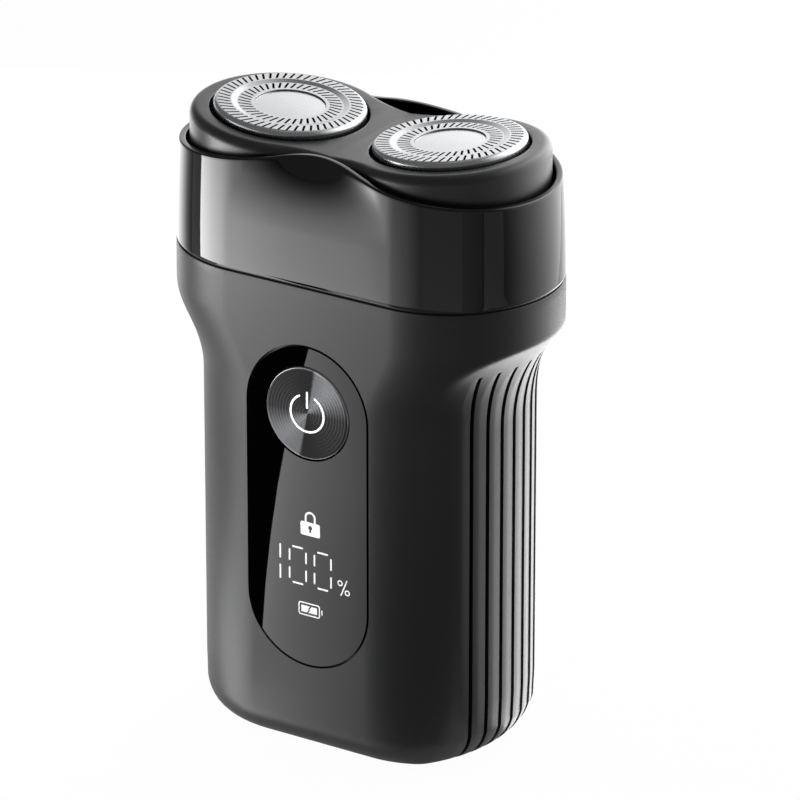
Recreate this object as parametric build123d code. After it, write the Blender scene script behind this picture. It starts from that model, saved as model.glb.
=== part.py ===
from build123d import *
import os
from math import asin, cos, degrees, pi, radians, sin, sqrt, tan

# Pocket two-head rotary shaver.  Millimetres, +Z up, front is -Y, origin under the middle of the base.

# heights
SEAM_Z = 72.5
SEAM_GAP = 0.3
HEAD_TALL = 19.0
DECK_Z = SEAM_Z + HEAD_TALL
RIM_END_DROP = 4.3
RIM_MID_DROP = 0.3
RIM_END_Z = DECK_Z - RIM_END_DROP
RIM_MID_Z = DECK_Z - RIM_MID_DROP
FLOOR_RISE = 4.5
FLOOR_Z = SEAM_Z + FLOOR_RISE
FLOOR_T = 1.6

# collar
PITCH = 27.0
HEAD_X = PITCH / 2
TILT = 4.7
COLLAR_R = 16.4
COLLAR_DRAFT = 0.55
COLLAR_DRAW = 3.0
COLLAR_FLAT = 0.02
COLLAR_ROWS = 5
DRAW_POWER = 5
COLLAR_LIP = 1.1
COLLAR_WALL = 1.6
COLLAR_RIM_R = COLLAR_R - COLLAR_DRAFT
COLLAR_WAIST = COLLAR_R - COLLAR_DRAW

# deck
DECK_GAP = 0.45
DECK_WAIST_GAP = 0.9
DECK_WALL = 1.3
DECK_T = 1.6
DECK_ROUND = 2.0
DECK_END_R = COLLAR_RIM_R - COLLAR_LIP - DECK_GAP
DECK_WAIST = COLLAR_WAIST - COLLAR_LIP - DECK_WAIST_GAP
LIFT_SEAT_GAP = 0.05

# shaving caps
CAP_FLANGE_GAP = 0.9
CAP_FLANGE_STEP = 1.1
CAP_FLANGE_R = DECK_END_R - DECK_WALL - CAP_FLANGE_GAP
CAP_R = CAP_FLANGE_R - CAP_FLANGE_STEP
CAP_PROUD = 1.1
CAP_FOIL = 0.4
CAP_WALL = 0.5
CAP_GAP = 0.45
CAP_FLANGE_W = -3.95
CAP_FLANGE_T = 0.75
CAP_FLOAT = 1.0
CAP_EDGE = 0.55
CAP_ROUND = 0.75
CAP_LAND = 1.1
CAP_STEP = 0.25
DISC_R = 5.0
DISC_LAND = 0.55
DISC_RIM = 0.2
DISC_DOME = 0.15
DISC_FIT = 0.1
OUTER_SLOTS = 56
INNER_SLOTS = 42
SLOT_W = 0.34
SLOT_SLANT = -20.0
OUTER_END = CAP_R - CAP_EDGE
INNER_START = DISC_R + DISC_LAND
SLOT_L = (OUTER_END - INNER_START - CAP_LAND) / 2
OUTER_START = OUTER_END - SLOT_L
INNER_END = INNER_START + SLOT_L
BLADES = 9
BLADE_T = 0.6
BLADE_GAP = 0.06
CUTTER_R = CAP_R - 1.0
RETAINER_R = CAP_R - 2.8

# handle
GRIP_X = 9.2
SHELL_WALL = 2.0
FLARE_HIGH = SEAM_Z - 6.0
FLARE_LOW = FLARE_HIGH - 12.0
BASE_ROUND = 5.5
BASE_T = 2.0
CAVITY_R = COLLAR_R - SHELL_WALL
CAVITY_X = GRIP_X - 1.4
CAVITY_TOP_X = HEAD_X - 0.1
RECESS_DEPTH = 1.2
RECESS_X = GRIP_X + COLLAR_R - RECESS_DEPTH
RECESS_R = 22.2
RECESS_BASE_R = 7.0
LEDGE_Z = SEAM_Z - 6.8
LEDGE_X = HEAD_X + COLLAR_R
RECESS_FLARE_Z = LEDGE_Z - 13.7
GROOVES = 7
GROOVE_STEP = 7.6
GROOVE_BEVEL = 1.5
GROOVE_D = 0.7
GROOVE_TOP_Z = LEDGE_Z - 2.2

# display window and button
FRONT_Y = -COLLAR_R
WINDOW_R = 10.0
WINDOW_LOW = 24.3
BUTTON_Z = SEAM_Z - 19.1
WINDOW_T = 1.2
WINDOW_GAP = 0.12
BUTTON_R = 7.0
BUTTON_GAP = 0.2
BUTTON_TRAVEL = 0.5
BUTTON_FACE_T = 0.5
LED_HALF = 8.0
LED_LOW = 20.5
LED_HIGH = 39.5
LED_GAP = 0.2

# drive
HEAD_LEAN = 0.5
GEAR_X = HEAD_X + HEAD_LEAN
PINION_TEETH = 14
GEAR_TEETH = 42
MODULE = 2 * GEAR_X / (PINION_TEETH + GEAR_TEETH)
GEAR_Z = FLOOR_Z - 7.8
GEAR_T = 3.0
SHAFT_R = 1.0
RUN_FIT = 0.04
BASE_PLATE_Z = GEAR_Z - 3.2
BASE_PLATE_T = 2.0
BASE_PLATE_X = CAVITY_TOP_X - 1.8
MOTOR_R = 10.2
MOTOR_FLAT = 7.7
MOTOR_LOW = BASE_PLATE_Z - 22.0
HUB_R = 3.5
HUB_TOP = FLOOR_Z + 3.0
HUB_FLOOR = GEAR_Z + 4.4
HUB_BORE = 2.4
HUB_SEAL_R = 5.0
KEY_R = 2.9
KEY_W = 1.2
NECK_R = 1.5
DOG_L = 5.0
DOG_W = 1.2
DOG_H = 1.6
FOOT_Z = FLOOR_Z + 0.9
FOOT_T = 1.5
DOG_SLOT_GAP = 0.35
SCREW_R = 1.0
COLLAR_SCREW_Y = CAVITY_R - 3.5
MOTOR_SCREW_Y = 5.8

# power
USB_W = 8.94
USB_D = 3.2
USB_Y = CAVITY_R - 3.2
USB_Z = 0.5
USB_L = 7.3
BOARD_T = 1.0
MAIN_BOARD_Y = USB_Y + USB_D / 2 + 0.1
FRONT_BOARD_Y = FRONT_Y + 3.8
CELL_R = 9.0
CELL_Y = MAIN_BOARD_Y - CELL_R - 1.3
CELL_LOW = 9.45
CELL_HIGH = MOTOR_LOW - 2.4
CHASSIS_X = 14.6
CHASSIS_WALL = 1.4
CHASSIS_FRONT_Y = FRONT_BOARD_Y + BOARD_T + 0.1

CREASE_Z = DECK_Z - HEAD_X * tan(radians(TILT))
DOG_Z = DECK_Z - HEAD_LEAN / tan(radians(TILT))
DOG_W_POS = -HEAD_LEAN / sin(radians(TILT))
SEAT_Z = FLOOR_Z + FLOOR_T + LIFT_SEAT_GAP
SIDES = {"left": -1, "right": 1}


def rise(face, low, high):
    """Straight solid standing on a plan face between two heights."""
    return extrude(Pos(0, 0, low) * face, amount=high - low, dir=(0, 0, 1))


def stadium(centre, radius):
    """Plan with two round ends centred at +-centre on X."""
    right = ThreePointArc((centre, -radius), (centre + radius, 0), (centre, radius))
    top = Line((centre, radius), (-centre, radius))
    left = ThreePointArc((-centre, radius), (-centre - radius, 0), (-centre, -radius))
    low = Line((-centre, -radius), (centre, -radius))
    return make_face([right, top, left, low])


def peanut(end_r, waist):
    """Plan with round ends on the head centres and a waist drawn in by two wide arcs."""
    reach = (HEAD_X ** 2 + waist ** 2 - end_r ** 2) / (2 * (end_r - waist))
    share = end_r / (end_r + reach)
    tx = HEAD_X * (1 - share)
    ty = (waist + reach) * share
    right = ThreePointArc((tx, -ty), (HEAD_X + end_r, 0), (tx, ty))
    top = ThreePointArc((tx, ty), (0, waist), (-tx, ty))
    left = ThreePointArc((-tx, ty), (-HEAD_X - end_r, 0), (-tx, -ty))
    low = ThreePointArc((-tx, -ty), (0, -waist), (tx, -ty))
    return make_face([right, top, left, low])


def rod(radius, low, high, x=0.0, y=0.0):
    """Upright cylinder between two heights."""
    return Pos(x, y, (low + high) / 2) * Cylinder(radius, high - low)


def block(x0, x1, y0, y1, z0, z1):
    """Box from its six limits."""
    middle = Pos((x0 + x1) / 2, (y0 + y1) / 2, (z0 + z1) / 2)
    return middle * Box(x1 - x0, y1 - y0, z1 - z0)


def front_disc(radius, y0, y1, z):
    """Cylinder lying along Y on the front of the handle."""
    return Pos(0, (y0 + y1) / 2, z) * Rot(90, 0, 0) * Cylinder(radius, y1 - y0)


def window_plan(grow):
    """Upright stadium of the display window, in the XZ plane, grown by a margin."""
    radius = WINDOW_R + grow
    up = ThreePointArc((radius, BUTTON_Z), (0, BUTTON_Z + radius), (-radius, BUTTON_Z))
    left = Line((-radius, BUTTON_Z), (-radius, WINDOW_LOW))
    low = ThreePointArc((-radius, WINDOW_LOW), (0, WINDOW_LOW - radius), (radius, WINDOW_LOW))
    right = Line((radius, WINDOW_LOW), (radius, BUTTON_Z))
    return Plane.XZ * make_face([up, left, low, right])


def front_slab(face, y0, y1):
    """Solid from an XZ face at Y = 0 carried to the two depths."""
    return extrude(Pos(0, y0, 0) * face, amount=y1 - y0, dir=(0, 1, 0))


def head_place(side):
    """Location of a shaving head: deck surface at the head centre, tilted inward."""
    return Pos(side * HEAD_X, 0, DECK_Z) * Rot(0, -side * TILT, 0)


def deck_wedge(drop, low):
    """Everything under the two tilted deck planes lowered by a depth along their normals."""
    far = 45.0
    sink = drop / cos(radians(TILT))
    edge = CREASE_Z - sink + far * tan(radians(TILT))
    corners = [(-far, low), (far, low), (far, edge), (0, CREASE_Z - sink), (-far, edge)]
    face = Plane.XZ * make_face(Polyline(*corners, close=True))
    return extrude(Pos(0, -far, 0) * face, amount=2 * far, dir=(0, 1, 0))


def ease(share):
    """Smooth step from 0 to 1."""
    return share * share * (3 - 2 * share)


def toothed(teeth, phase):
    """Plan of a spur gear with straight stub flanks."""
    pitch_r = MODULE * teeth / 2
    thick = 1.36 * MODULE
    tip_r = pitch_r + 0.84 * MODULE
    root_r = pitch_r - 1.16 * MODULE
    tip_w = thick - 0.72 * MODULE
    root_w = thick + 0.52 * MODULE
    rows = []
    for index in range(teeth):
        mid = 2 * pi * (index + phase) / teeth
        for radius, width, sign in (
            (root_r, root_w, -1),
            (pitch_r, thick, -1),
            (tip_r, tip_w, -1),
            (tip_r, tip_w, 1),
            (pitch_r, thick, 1),
            (root_r, root_w, 1),
        ):
            angle = mid + sign * width / (2 * radius)
            rows.append((radius * cos(angle), radius * sin(angle)))
    return make_face(Polyline(*rows, close=True))


def handle_outside():
    """Grip and flare: round ends that move outward through an S to meet the collar."""
    steps = (0.0, 0.08, 0.22, 0.4, 0.6, 0.78, 0.92, 1.0)
    rows = []
    for step in steps:
        height = FLARE_LOW + step * (FLARE_HIGH - FLARE_LOW)
        centre = GRIP_X + ease(step) * (HEAD_X - GRIP_X)
        rows.append(Pos(0, 0, height) * stadium(centre, COLLAR_R))
    grip = rise(stadium(GRIP_X, COLLAR_R), 0, FLARE_LOW)
    grip = fillet(grip.edges().group_by(Axis.Z)[0], BASE_ROUND)
    top = rise(stadium(HEAD_X, COLLAR_R), FLARE_HIGH, SEAM_Z - SEAM_GAP / 2)
    return grip + loft(rows) + top


def flare_radius():
    """Radius of the arc that carries the recess from its flat run out to the ledge."""
    rise_z = LEDGE_Z - RECESS_FLARE_Z
    reach = LEDGE_X - RECESS_X
    return (rise_z ** 2 + reach ** 2) / (2 * reach)


def flare_x(climb):
    """X of the recess at a height above the start of its flare."""
    flare_r = flare_radius()
    return RECESS_X + flare_r - sqrt(flare_r ** 2 - climb ** 2)


def recess_tool():
    """Ring sector that hollows one end: flat run, flare up to the ledge, run-out under the base."""
    climb = LEDGE_Z + 1.2 - RECESS_FLARE_Z
    over = (flare_x(climb), RECESS_FLARE_Z + climb)
    middle = (flare_x(climb / 2), RECESS_FLARE_Z + climb / 2)
    bend = RECESS_BASE_R * (1 - cos(pi / 4))
    foot = (RECESS_X - RECESS_BASE_R, 0)
    far = over[0] + 6
    run = [
        ThreePointArc(foot, (RECESS_X - bend, bend), (RECESS_X, RECESS_BASE_R)),
        Line((RECESS_X, RECESS_BASE_R), (RECESS_X, RECESS_FLARE_Z)),
        ThreePointArc((RECESS_X, RECESS_FLARE_Z), middle, over),
        Polyline(over, (far, over[1]), (far, -2), (foot[0], -2), foot),
    ]
    return sector(Plane.XZ * make_face(run))


def groove_tool():
    """Shingled grooves of one end: each a bevel that drops to a steep wall and follows the recess upward."""
    over = 0.3
    lip = -GROOVE_BEVEL - over * GROOVE_BEVEL / GROOVE_D
    corners = [(RECESS_X + over, lip), (RECESS_X - GROOVE_D, 0), (RECESS_X + over, 0.1)]
    plan = make_face(Polyline(*corners, close=True))
    groove = rise(plan, RECESS_BASE_R, RECESS_FLARE_Z)
    base_axis = Axis((RECESS_X - RECESS_BASE_R, 0, RECESS_BASE_R), (0, 1, 0))
    groove += revolve(Pos(0, 0, RECESS_BASE_R) * plan, base_axis, revolution_arc=90)
    flare_axis = Axis((RECESS_X + flare_radius(), 0, RECESS_FLARE_Z), (0, 1, 0))
    turn = degrees(asin((GROOVE_TOP_Z - RECESS_FLARE_Z) / flare_radius()))
    groove += revolve(Pos(0, 0, RECESS_FLARE_Z) * plan, flare_axis, revolution_arc=turn)
    axis = Axis((RECESS_X - RECESS_R, 0, 0), (0, 0, 1))
    middle = (GROOVES - 1) / 2
    return [groove.rotate(axis, (index - middle) * GROOVE_STEP) for index in range(GROOVES)]


def sector(face):
    """Turn an XZ face through 100 degrees about the upright axis of the recess."""
    axis = Axis((RECESS_X - RECESS_R, 0, 0), (0, 0, 1))
    return revolve(face.rotate(axis, -50), axis, revolution_arc=100)


def handle_shell():
    """One-piece moulded handle, open at the top, with ribbed ends and the window pocket."""
    body = handle_outside()
    inside = rise(stadium(CAVITY_X, CAVITY_R), BASE_T, FLARE_LOW + 2.5)
    inside = fillet(inside.edges().group_by(Axis.Z)[0], BASE_ROUND - BASE_T)
    rows = [
        Pos(0, 0, FLARE_LOW + 2.5) * stadium(CAVITY_X, CAVITY_R),
        Pos(0, 0, FLARE_LOW + 5.5) * stadium(CAVITY_X + 0.8, CAVITY_R),
        Pos(0, 0, FLARE_HIGH + 1.0) * stadium(CAVITY_TOP_X, CAVITY_R),
    ]
    neck = loft(rows, ruled=True)
    mouth = rise(stadium(CAVITY_TOP_X, CAVITY_R), FLARE_HIGH + 1.0, SEAM_Z + 1)
    body = body - inside - neck - mouth
    recess = recess_tool()
    body = body - recess - mirror(recess, Plane.YZ)
    grooves = groove_tool()
    body = body - grooves - [mirror(groove, Plane.YZ) for groove in grooves]
    body -= front_slab(window_plan(WINDOW_GAP), FRONT_Y - 1, FRONT_Y + WINDOW_T)
    body -= front_disc(BUTTON_R + BUTTON_GAP, FRONT_Y - 1, FRONT_Y + SHELL_WALL + 1, BUTTON_Z)
    led = LED_HALF + LED_GAP
    body -= block(-led, led, FRONT_Y, FRONT_Y + SHELL_WALL + 1, LED_LOW - LED_GAP, LED_HIGH + LED_GAP)
    mouth_plan = Pos(0, USB_Y, 0) * RectangleRounded(USB_W + 0.3, USB_D + 0.3, (USB_D + 0.28) / 2)
    body -= rise(mouth_plan, -1, BASE_T + 2)
    return body


def collar_rows(trim):
    """Sections of the collar, from the seam to above the rim, with a waist drawn in under the rim."""
    low = SEAM_Z + SEAM_GAP / 2
    tall = RIM_MID_Z - low
    rows = []
    for index in range(COLLAR_ROWS):
        share = 1.08 * index / (COLLAR_ROWS - 1)
        wall = COLLAR_WALL + min(share, 1.0) * (COLLAR_LIP - COLLAR_WALL) if trim else 0.0
        end_r = COLLAR_R - COLLAR_DRAFT * 1.3 * share ** 1.6 - wall
        waist = COLLAR_R - COLLAR_FLAT - COLLAR_DRAW * share ** DRAW_POWER - wall
        rows.append(Pos(0, 0, low + share * tall) * peanut(end_r, waist))
    return rows


def rim_cut():
    """Space above the waved rim: low round the ends, high at the waist."""
    far = 36.0
    drop = RIM_MID_Z - RIM_END_Z
    marks = ((0, 0.0), (0.174, 0.09), (0.321, 0.3), (0.468, 0.5), (0.719, 0.75), (1.003, 1.0))
    right = [(out * LEDGE_X, RIM_MID_Z - drop * share) for out, share in marks]
    left = [(-x, z) for x, z in reversed(right[1:])]
    wave = Spline(*(left + right), tangents=((1, 0.1), (1, -0.1)))
    start = wave @ 0
    end = wave @ 1
    low = RIM_END_Z - 0.6
    lid = Polyline((end.X, end.Y), (far, low), (far, 110), (-far, 110), (-far, low), (start.X, start.Y))
    face = Plane.XZ * make_face([wave, lid])
    return extrude(Pos(0, -far, 0) * face, amount=2 * far, dir=(0, 1, 0))


def head_shell():
    """Gloss collar with its floor, spigot, seal bores and two screw bosses."""
    outside = loft(collar_rows(False))
    inside = loft(collar_rows(True))
    floor = rise(stadium(HEAD_X, COLLAR_R - COLLAR_WALL / 2), FLOOR_Z, FLOOR_Z + FLOOR_T)
    wall = outside - inside - rim_cut()
    spigot_out = stadium(CAVITY_TOP_X, CAVITY_R - 0.1)
    spigot_in = stadium(CAVITY_TOP_X, CAVITY_R - 1.4)
    spigot = rise(spigot_out, SEAM_Z - 3.0, SEAM_Z + 3.0) - rise(spigot_in, SEAM_Z - 4, SEAM_Z + 4)
    body = wall + (floor & outside) + spigot
    for side in (-1, 1):
        body += rod(2.4, BASE_PLATE_Z + BASE_PLATE_T, FLOOR_Z + 0.2, 0, side * COLLAR_SCREW_Y)
    for side in (-1, 1):
        body -= rod(SCREW_R + 0.05, BASE_PLATE_Z, FLOOR_Z + 3, 0, side * COLLAR_SCREW_Y)
        body -= rod(2.05, FLOOR_Z + 0.2, FLOOR_Z + 3, 0, side * COLLAR_SCREW_Y)
        body -= rod(HUB_SEAL_R, FLOOR_Z - 1, FLOOR_Z + 3, side * GEAR_X)
    return body


def head_frame():
    """Satin deck that lifts off: a peanut shell under two planes, with a sleeve round each head."""
    plan = peanut(DECK_END_R, DECK_WAIST)
    outside = rise(plan, SEAT_Z, 110) & deck_wedge(0, 0)
    half = outside & block(0, 60, -60, 60, 0, 120)
    rim = [e for e in half.edges() if e.center().X > 0.01 and e.bounding_box().min.Z > CREASE_Z - 0.5]
    half = fillet(rim, DECK_ROUND)
    outside = half + mirror(half, Plane.YZ)
    core = peanut(DECK_END_R - DECK_WALL, DECK_WAIST - DECK_WALL)
    inside = rise(core, SEAT_Z - 1, 110) & deck_wedge(DECK_T, 0)
    body = outside - inside
    bound = rise(plan, SEAT_Z, 110) & deck_wedge(DECK_T / 2, 0)
    for side in (-1, 1):
        hole_r = CAP_R + CAP_GAP
        tall = -CAP_FLANGE_W - 0.1
        sleeve = Pos(0, 0, -tall / 2) * (Cylinder(hole_r + 1.15, tall) - Cylinder(hole_r, tall + 1))
        body += (head_place(side) * sleeve) & bound & block(*sorted((0, side * 60)), -60, 60, 0, 120)
    for side in (-1, 1):
        body -= head_place(side) * Cylinder(CAP_R + CAP_GAP, 7.6)
    return body


def retainer_plate():
    """Plate under the deck that keeps the caps and cutters from dropping out."""
    core = peanut(DECK_END_R - DECK_WALL - 0.1, DECK_WAIST - DECK_WALL - 0.1)
    top = -CAP_FLANGE_W + CAP_FLANGE_T + CAP_FLOAT + 0.2
    plate = (rise(core, SEAT_Z, 110) & deck_wedge(top, 0)) - deck_wedge(top + 1.2, 0)
    for side in (-1, 1):
        plate -= head_place(side) * Pos(0, 0, -top) * Cylinder(RETAINER_R, 6)
        spokes = Pos(0, 0, -top - 0.6) * (Cylinder(5.6, 1.2) - Cylinder(4.7, 2))
        for turn in (0, 120, 240):
            spokes += Rot(0, 0, turn) * block(5.5, RETAINER_R + 0.3, -0.7, 0.7, -top - 1.2, -top)
        plate += head_place(side) * spokes
    return plate


def shaving_cap():
    """Pressed steel cap in head coordinates: outer and inner slotted tracks, a well and a flange."""
    top = CAP_PROUD
    inner = top - CAP_STEP
    well = inner - CAP_FOIL
    knee = CAP_ROUND * (1 - cos(pi / 4))
    flange_low = CAP_FLANGE_W - CAP_FLANGE_T
    step_out = OUTER_START - 0.15
    step_in = INNER_END + 0.15
    well_r = DISC_R + DISC_FIT
    wall_r = CAP_R - CAP_WALL
    low = Polyline(
        (0, well - CAP_FOIL), (well_r + CAP_FOIL, well - CAP_FOIL), (well_r + CAP_FOIL, well),
        (step_in, well), (step_out, top - CAP_FOIL), (wall_r, top - CAP_FOIL), (wall_r, flange_low),
        (CAP_FLANGE_R, flange_low), (CAP_FLANGE_R, CAP_FLANGE_W), (CAP_R, CAP_FLANGE_W),
        (CAP_R, top - CAP_ROUND),
    )
    bend = ThreePointArc((CAP_R, top - CAP_ROUND), (CAP_R - knee, top - knee), (CAP_R - CAP_ROUND, top))
    high = Polyline(
        (CAP_R - CAP_ROUND, top), (step_out, top), (step_in, inner), (well_r, inner), (well_r, well),
        (0, well), (0, well - CAP_FOIL),
    )
    cap = revolve(Plane.XZ * make_face([low, bend, high]), Axis.Z)
    outer_slots = slot_ring(OUTER_SLOTS, OUTER_START, OUTER_END, top)
    inner_slots = slot_ring(INNER_SLOTS, INNER_START, INNER_END, inner)
    return cap - outer_slots - inner_slots


def slot_ring(count, start, end, top):
    """Cutting tools for one ring of slanted slots through the foil under a top height."""
    middle = (start + end) / 2
    slant = Pos(middle, 0, 0) * Rot(0, 0, SLOT_SLANT) * Pos(-middle, 0, 0)
    slot = slant * block(start, end, -SLOT_W / 2, SLOT_W / 2, top - CAP_FOIL - 0.05, CAP_PROUD + 1)
    return [Rot(0, 0, index * 360 / count) * slot for index in range(count)]


def cap_disc():
    """Smooth domed disc that lies in the well of a cap, in head coordinates."""
    base = CAP_PROUD - CAP_STEP - CAP_FOIL
    rim = base + DISC_RIM
    ball = (DISC_R ** 2 + DISC_DOME ** 2) / (2 * DISC_DOME)
    disc = Pos(0, 0, (base + rim + 1) / 2) * Cylinder(DISC_R, rim + 1 - base)
    return disc & (Pos(0, 0, rim + DISC_DOME - ball) * Sphere(ball))


def cutter():
    """Steel cutter in head coordinates: a disc with two rows of upright blades."""
    low = -2.0
    tip = CAP_PROUD - CAP_FOIL - BLADE_GAP
    half = BLADE_T / 2
    middle = (OUTER_START + OUTER_END) / 2
    rake = Pos(middle, 0, 0) * Rot(0, 0, 14) * Pos(-middle, 0, 0)
    disc = Pos(0, 0, low + 0.25) * (Cylinder(CUTTER_R, 0.5) - Cylinder(2.3, 2))
    for index in range(BLADES):
        turn = Rot(0, 0, index * 360 / BLADES)
        disc -= turn * Rot(0, 0, 180 / BLADES) * Pos(CUTTER_R - 1.6, 0, low) * Cylinder(1.7, 3)
        disc += turn * rake * block(OUTER_START, OUTER_END - 0.4, -half, half, low, tip)
        disc += turn * block(INNER_START + 0.1, INNER_END, -half, half, low, tip - CAP_STEP)
    return disc


def cutter_hub():
    """Plastic carrier of a cutter, in head coordinates, with the socket for the drive dog."""
    mouth = DOG_W_POS - 1.5
    body = Pos(0, 0, -2.6) * Cylinder(5.2, 1.2)
    body += Pos(0, 0, -1.7) * Cylinder(2.25, 1.0)
    body += Pos(0, 0, (mouth - 3.0) / 2) * Cylinder(3.9, -3.0 - mouth)
    roof = DOG_W_POS + DOG_H / 2 + 0.3
    middle = (mouth - 0.5 + roof) / 2
    tall = roof - mouth + 0.5
    body -= Pos(0, 0, middle) * Cylinder(NECK_R + 0.45, tall)
    body -= Pos(0, 0, middle) * Box(DOG_L + 0.9, DOG_W + 2 * DOG_SLOT_GAP, tall)
    return body


def drive_gear(side):
    """Driven gear with a hollow keyed hub that carries the spring and the spindle."""
    disc = rise(toothed(GEAR_TEETH, 0.5), GEAR_Z, GEAR_Z + GEAR_T)
    web = rod(MODULE * GEAR_TEETH / 2 - 1.5, GEAR_Z + 1.8, GEAR_Z + 4) - rod(HUB_R + 0.8, GEAR_Z, GEAR_Z + 5)
    body = disc - web + rod(HUB_R, GEAR_Z, HUB_TOP)
    body -= rod(SHAFT_R + RUN_FIT, GEAR_Z - 1, HUB_TOP)
    body -= rod(HUB_BORE, HUB_FLOOR, HUB_TOP + 1)
    body -= block(-KEY_R - 0.1, KEY_R + 0.1, -KEY_W / 2 - 0.1, KEY_W / 2 + 0.1, FOOT_Z - 1.4, HUB_TOP + 1)
    return Pos(side * GEAR_X, 0, 0) * body


def hub_cap(side):
    """Ring snapped over the hub that keeps the spindle in."""
    body = rod(4.0, HUB_TOP - 1.2, HUB_TOP + 0.9) - rod(HUB_R + 0.02, HUB_TOP - 2, HUB_TOP + 0.05)
    return Pos(side * GEAR_X, 0, 0) * (body - rod(NECK_R + 0.12, HUB_TOP - 1, HUB_TOP + 2))


def spindle(side):
    """Sprung drive pin: keyed foot in the hub, neck, and a cross dog in the cutter's socket."""
    body = rod(HUB_BORE - 0.08, FOOT_Z, FOOT_Z + FOOT_T)
    body += block(-KEY_R, KEY_R, -KEY_W / 2, KEY_W / 2, FOOT_Z, FOOT_Z + FOOT_T)
    body += rod(NECK_R, FOOT_Z + FOOT_T, DOG_Z + DOG_H / 2)
    body += block(-DOG_L / 2, DOG_L / 2, -DOG_W / 2, DOG_W / 2, DOG_Z - DOG_H / 2, DOG_Z + DOG_H / 2)
    return Pos(side * GEAR_X, 0, 0) * body


def spindle_spring(side):
    """Coil between the hub floor and the spindle foot."""
    wire = 0.24
    path = Helix(0.92, FOOT_Z - HUB_FLOOR - 2 * wire - 0.1, 1.85)
    coil = sweep(Plane(path @ 0, z_dir=path % 0) * Circle(wire), path, is_frenet=True)
    return Pos(side * GEAR_X, 0, HUB_FLOOR + wire + 0.05) * coil


def motor_plan(inset):
    """Round can with two flats."""
    return Circle(MOTOR_R - inset) & Rectangle(40, 2 * (MOTOR_FLAT - inset))


def motor_case():
    """Drawn can with its bearing boss and two tapped holes."""
    top = BASE_PLATE_Z
    body = rise(motor_plan(0), MOTOR_LOW, top) - rise(motor_plan(0.8), MOTOR_LOW - 1, top - 0.8)
    body += rod(3.0, top - 0.2, top + 1.4)
    body -= rod(SHAFT_R + RUN_FIT, top - 3, top + 3)
    for side in (-1, 1):
        body -= rod(0.85, top - 2, top + 1, 0, side * MOTOR_SCREW_Y)
    return body


def chassis():
    """Moulded carrier: two walls, three shelves, cradles and the screw posts."""
    top = BASE_PLATE_Z - 0.05
    post_low = BASE_PLATE_Z - 5.0
    shelf = CELL_LOW - 0.25
    deck_low = MOTOR_LOW - 2.05
    deck_high = MOTOR_LOW - 0.6
    wide = CHASSIS_X + CHASSIS_WALL
    inner = CHASSIS_X + 0.4
    body = block(-wide, -CHASSIS_X, CHASSIS_FRONT_Y, CAVITY_R - 2.8, shelf - 1.6, top)
    body += block(-wide, -CHASSIS_X, -5.5, 5.5, BASE_T + 0.05, shelf - 1.6)
    body += mirror(body, Plane.YZ)
    body += block(-inner, inner, CHASSIS_FRONT_Y, USB_Y - USB_D / 2 - 0.8, shelf - 1.6, shelf)
    body += block(-inner, inner, CHASSIS_FRONT_Y, MAIN_BOARD_Y - 0.5, deck_low, deck_high)
    for side in (-1, 1):
        beam = sorted((side * (MOTOR_FLAT + 0.5), side * (COLLAR_SCREW_Y + 0.5)))
        body += block(-inner, inner, *beam, post_low, top)
        body += rod(2.2, post_low, top, 0, side * COLLAR_SCREW_Y)
        body += block(*sorted((side * 9.0, side * inner)), -5, 5, MOTOR_LOW + 8.0, MOTOR_LOW + 9.6)
        body += block(*sorted((side * 8.0, side * inner)), -3, 8, CELL_LOW + 14.55, CELL_LOW + 16.15)
    body -= rise(motor_plan(-0.1), MOTOR_LOW - 0.5, top + 1)
    body -= rod(CELL_R + 0.1, shelf, deck_low, 0, CELL_Y)
    for side in (-1, 1):
        body -= rod(SCREW_R + 0.05, post_low - 1, top + 1, 0, side * COLLAR_SCREW_Y)
    return body & rise(stadium(CAVITY_X, CAVITY_R - 0.15), 0, top + 1)


def gear_base():
    """Plate that carries the motor, the two axles and the collar screws."""
    body = rise(stadium(BASE_PLATE_X, CAVITY_R - 0.15), BASE_PLATE_Z, BASE_PLATE_Z + BASE_PLATE_T)
    body -= rod(3.05, BASE_PLATE_Z - 1, BASE_PLATE_Z + 5)
    for side in (-1, 1):
        body -= rod(SHAFT_R, BASE_PLATE_Z + 0.3, BASE_PLATE_Z + 5, side * GEAR_X)
        body -= rod(0.9, BASE_PLATE_Z - 1, BASE_PLATE_Z + 5, 0, side * MOTOR_SCREW_Y)
        body -= rod(SCREW_R + 0.05, BASE_PLATE_Z - 1, BASE_PLATE_Z + 5, 0, side * COLLAR_SCREW_Y)
    return body


def screw(x, y, seat, length, head_r, shank_r):
    """Pan-head screw with a cross recess, its head standing on a seat height."""
    body = rod(head_r, seat, seat + 1.1, x, y) + rod(shank_r, seat - length, seat, x, y)
    body -= Pos(x, y, seat + 1.1) * Box(1.8, 0.45, 1.1)
    return body - Pos(x, y, seat + 1.1) * Box(0.45, 1.8, 1.1)


def usb_plan(inset):
    """Rounded mouth of the charging socket."""
    depth = USB_D - 2 * inset
    return Pos(0, USB_Y, 0) * RectangleRounded(USB_W - 2 * inset, depth, depth / 2 - 0.01)


def window_lens():
    """Flush display window with the round opening for the button."""
    lens = front_slab(window_plan(0), FRONT_Y, FRONT_Y + WINDOW_T - 0.05)
    return lens - front_disc(BUTTON_R + BUTTON_GAP, FRONT_Y - 1, FRONT_Y + 3, BUTTON_Z)


def button_carrier():
    """Button body: disc behind the metal face, flange inside the shell and a short nose."""
    inner = FRONT_Y + SHELL_WALL
    body = front_disc(BUTTON_R, FRONT_Y + BUTTON_FACE_T, inner + 0.05, BUTTON_Z)
    body += front_disc(BUTTON_R + 0.9, inner + 0.05, inner + 0.5, BUTTON_Z)
    return body


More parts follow.
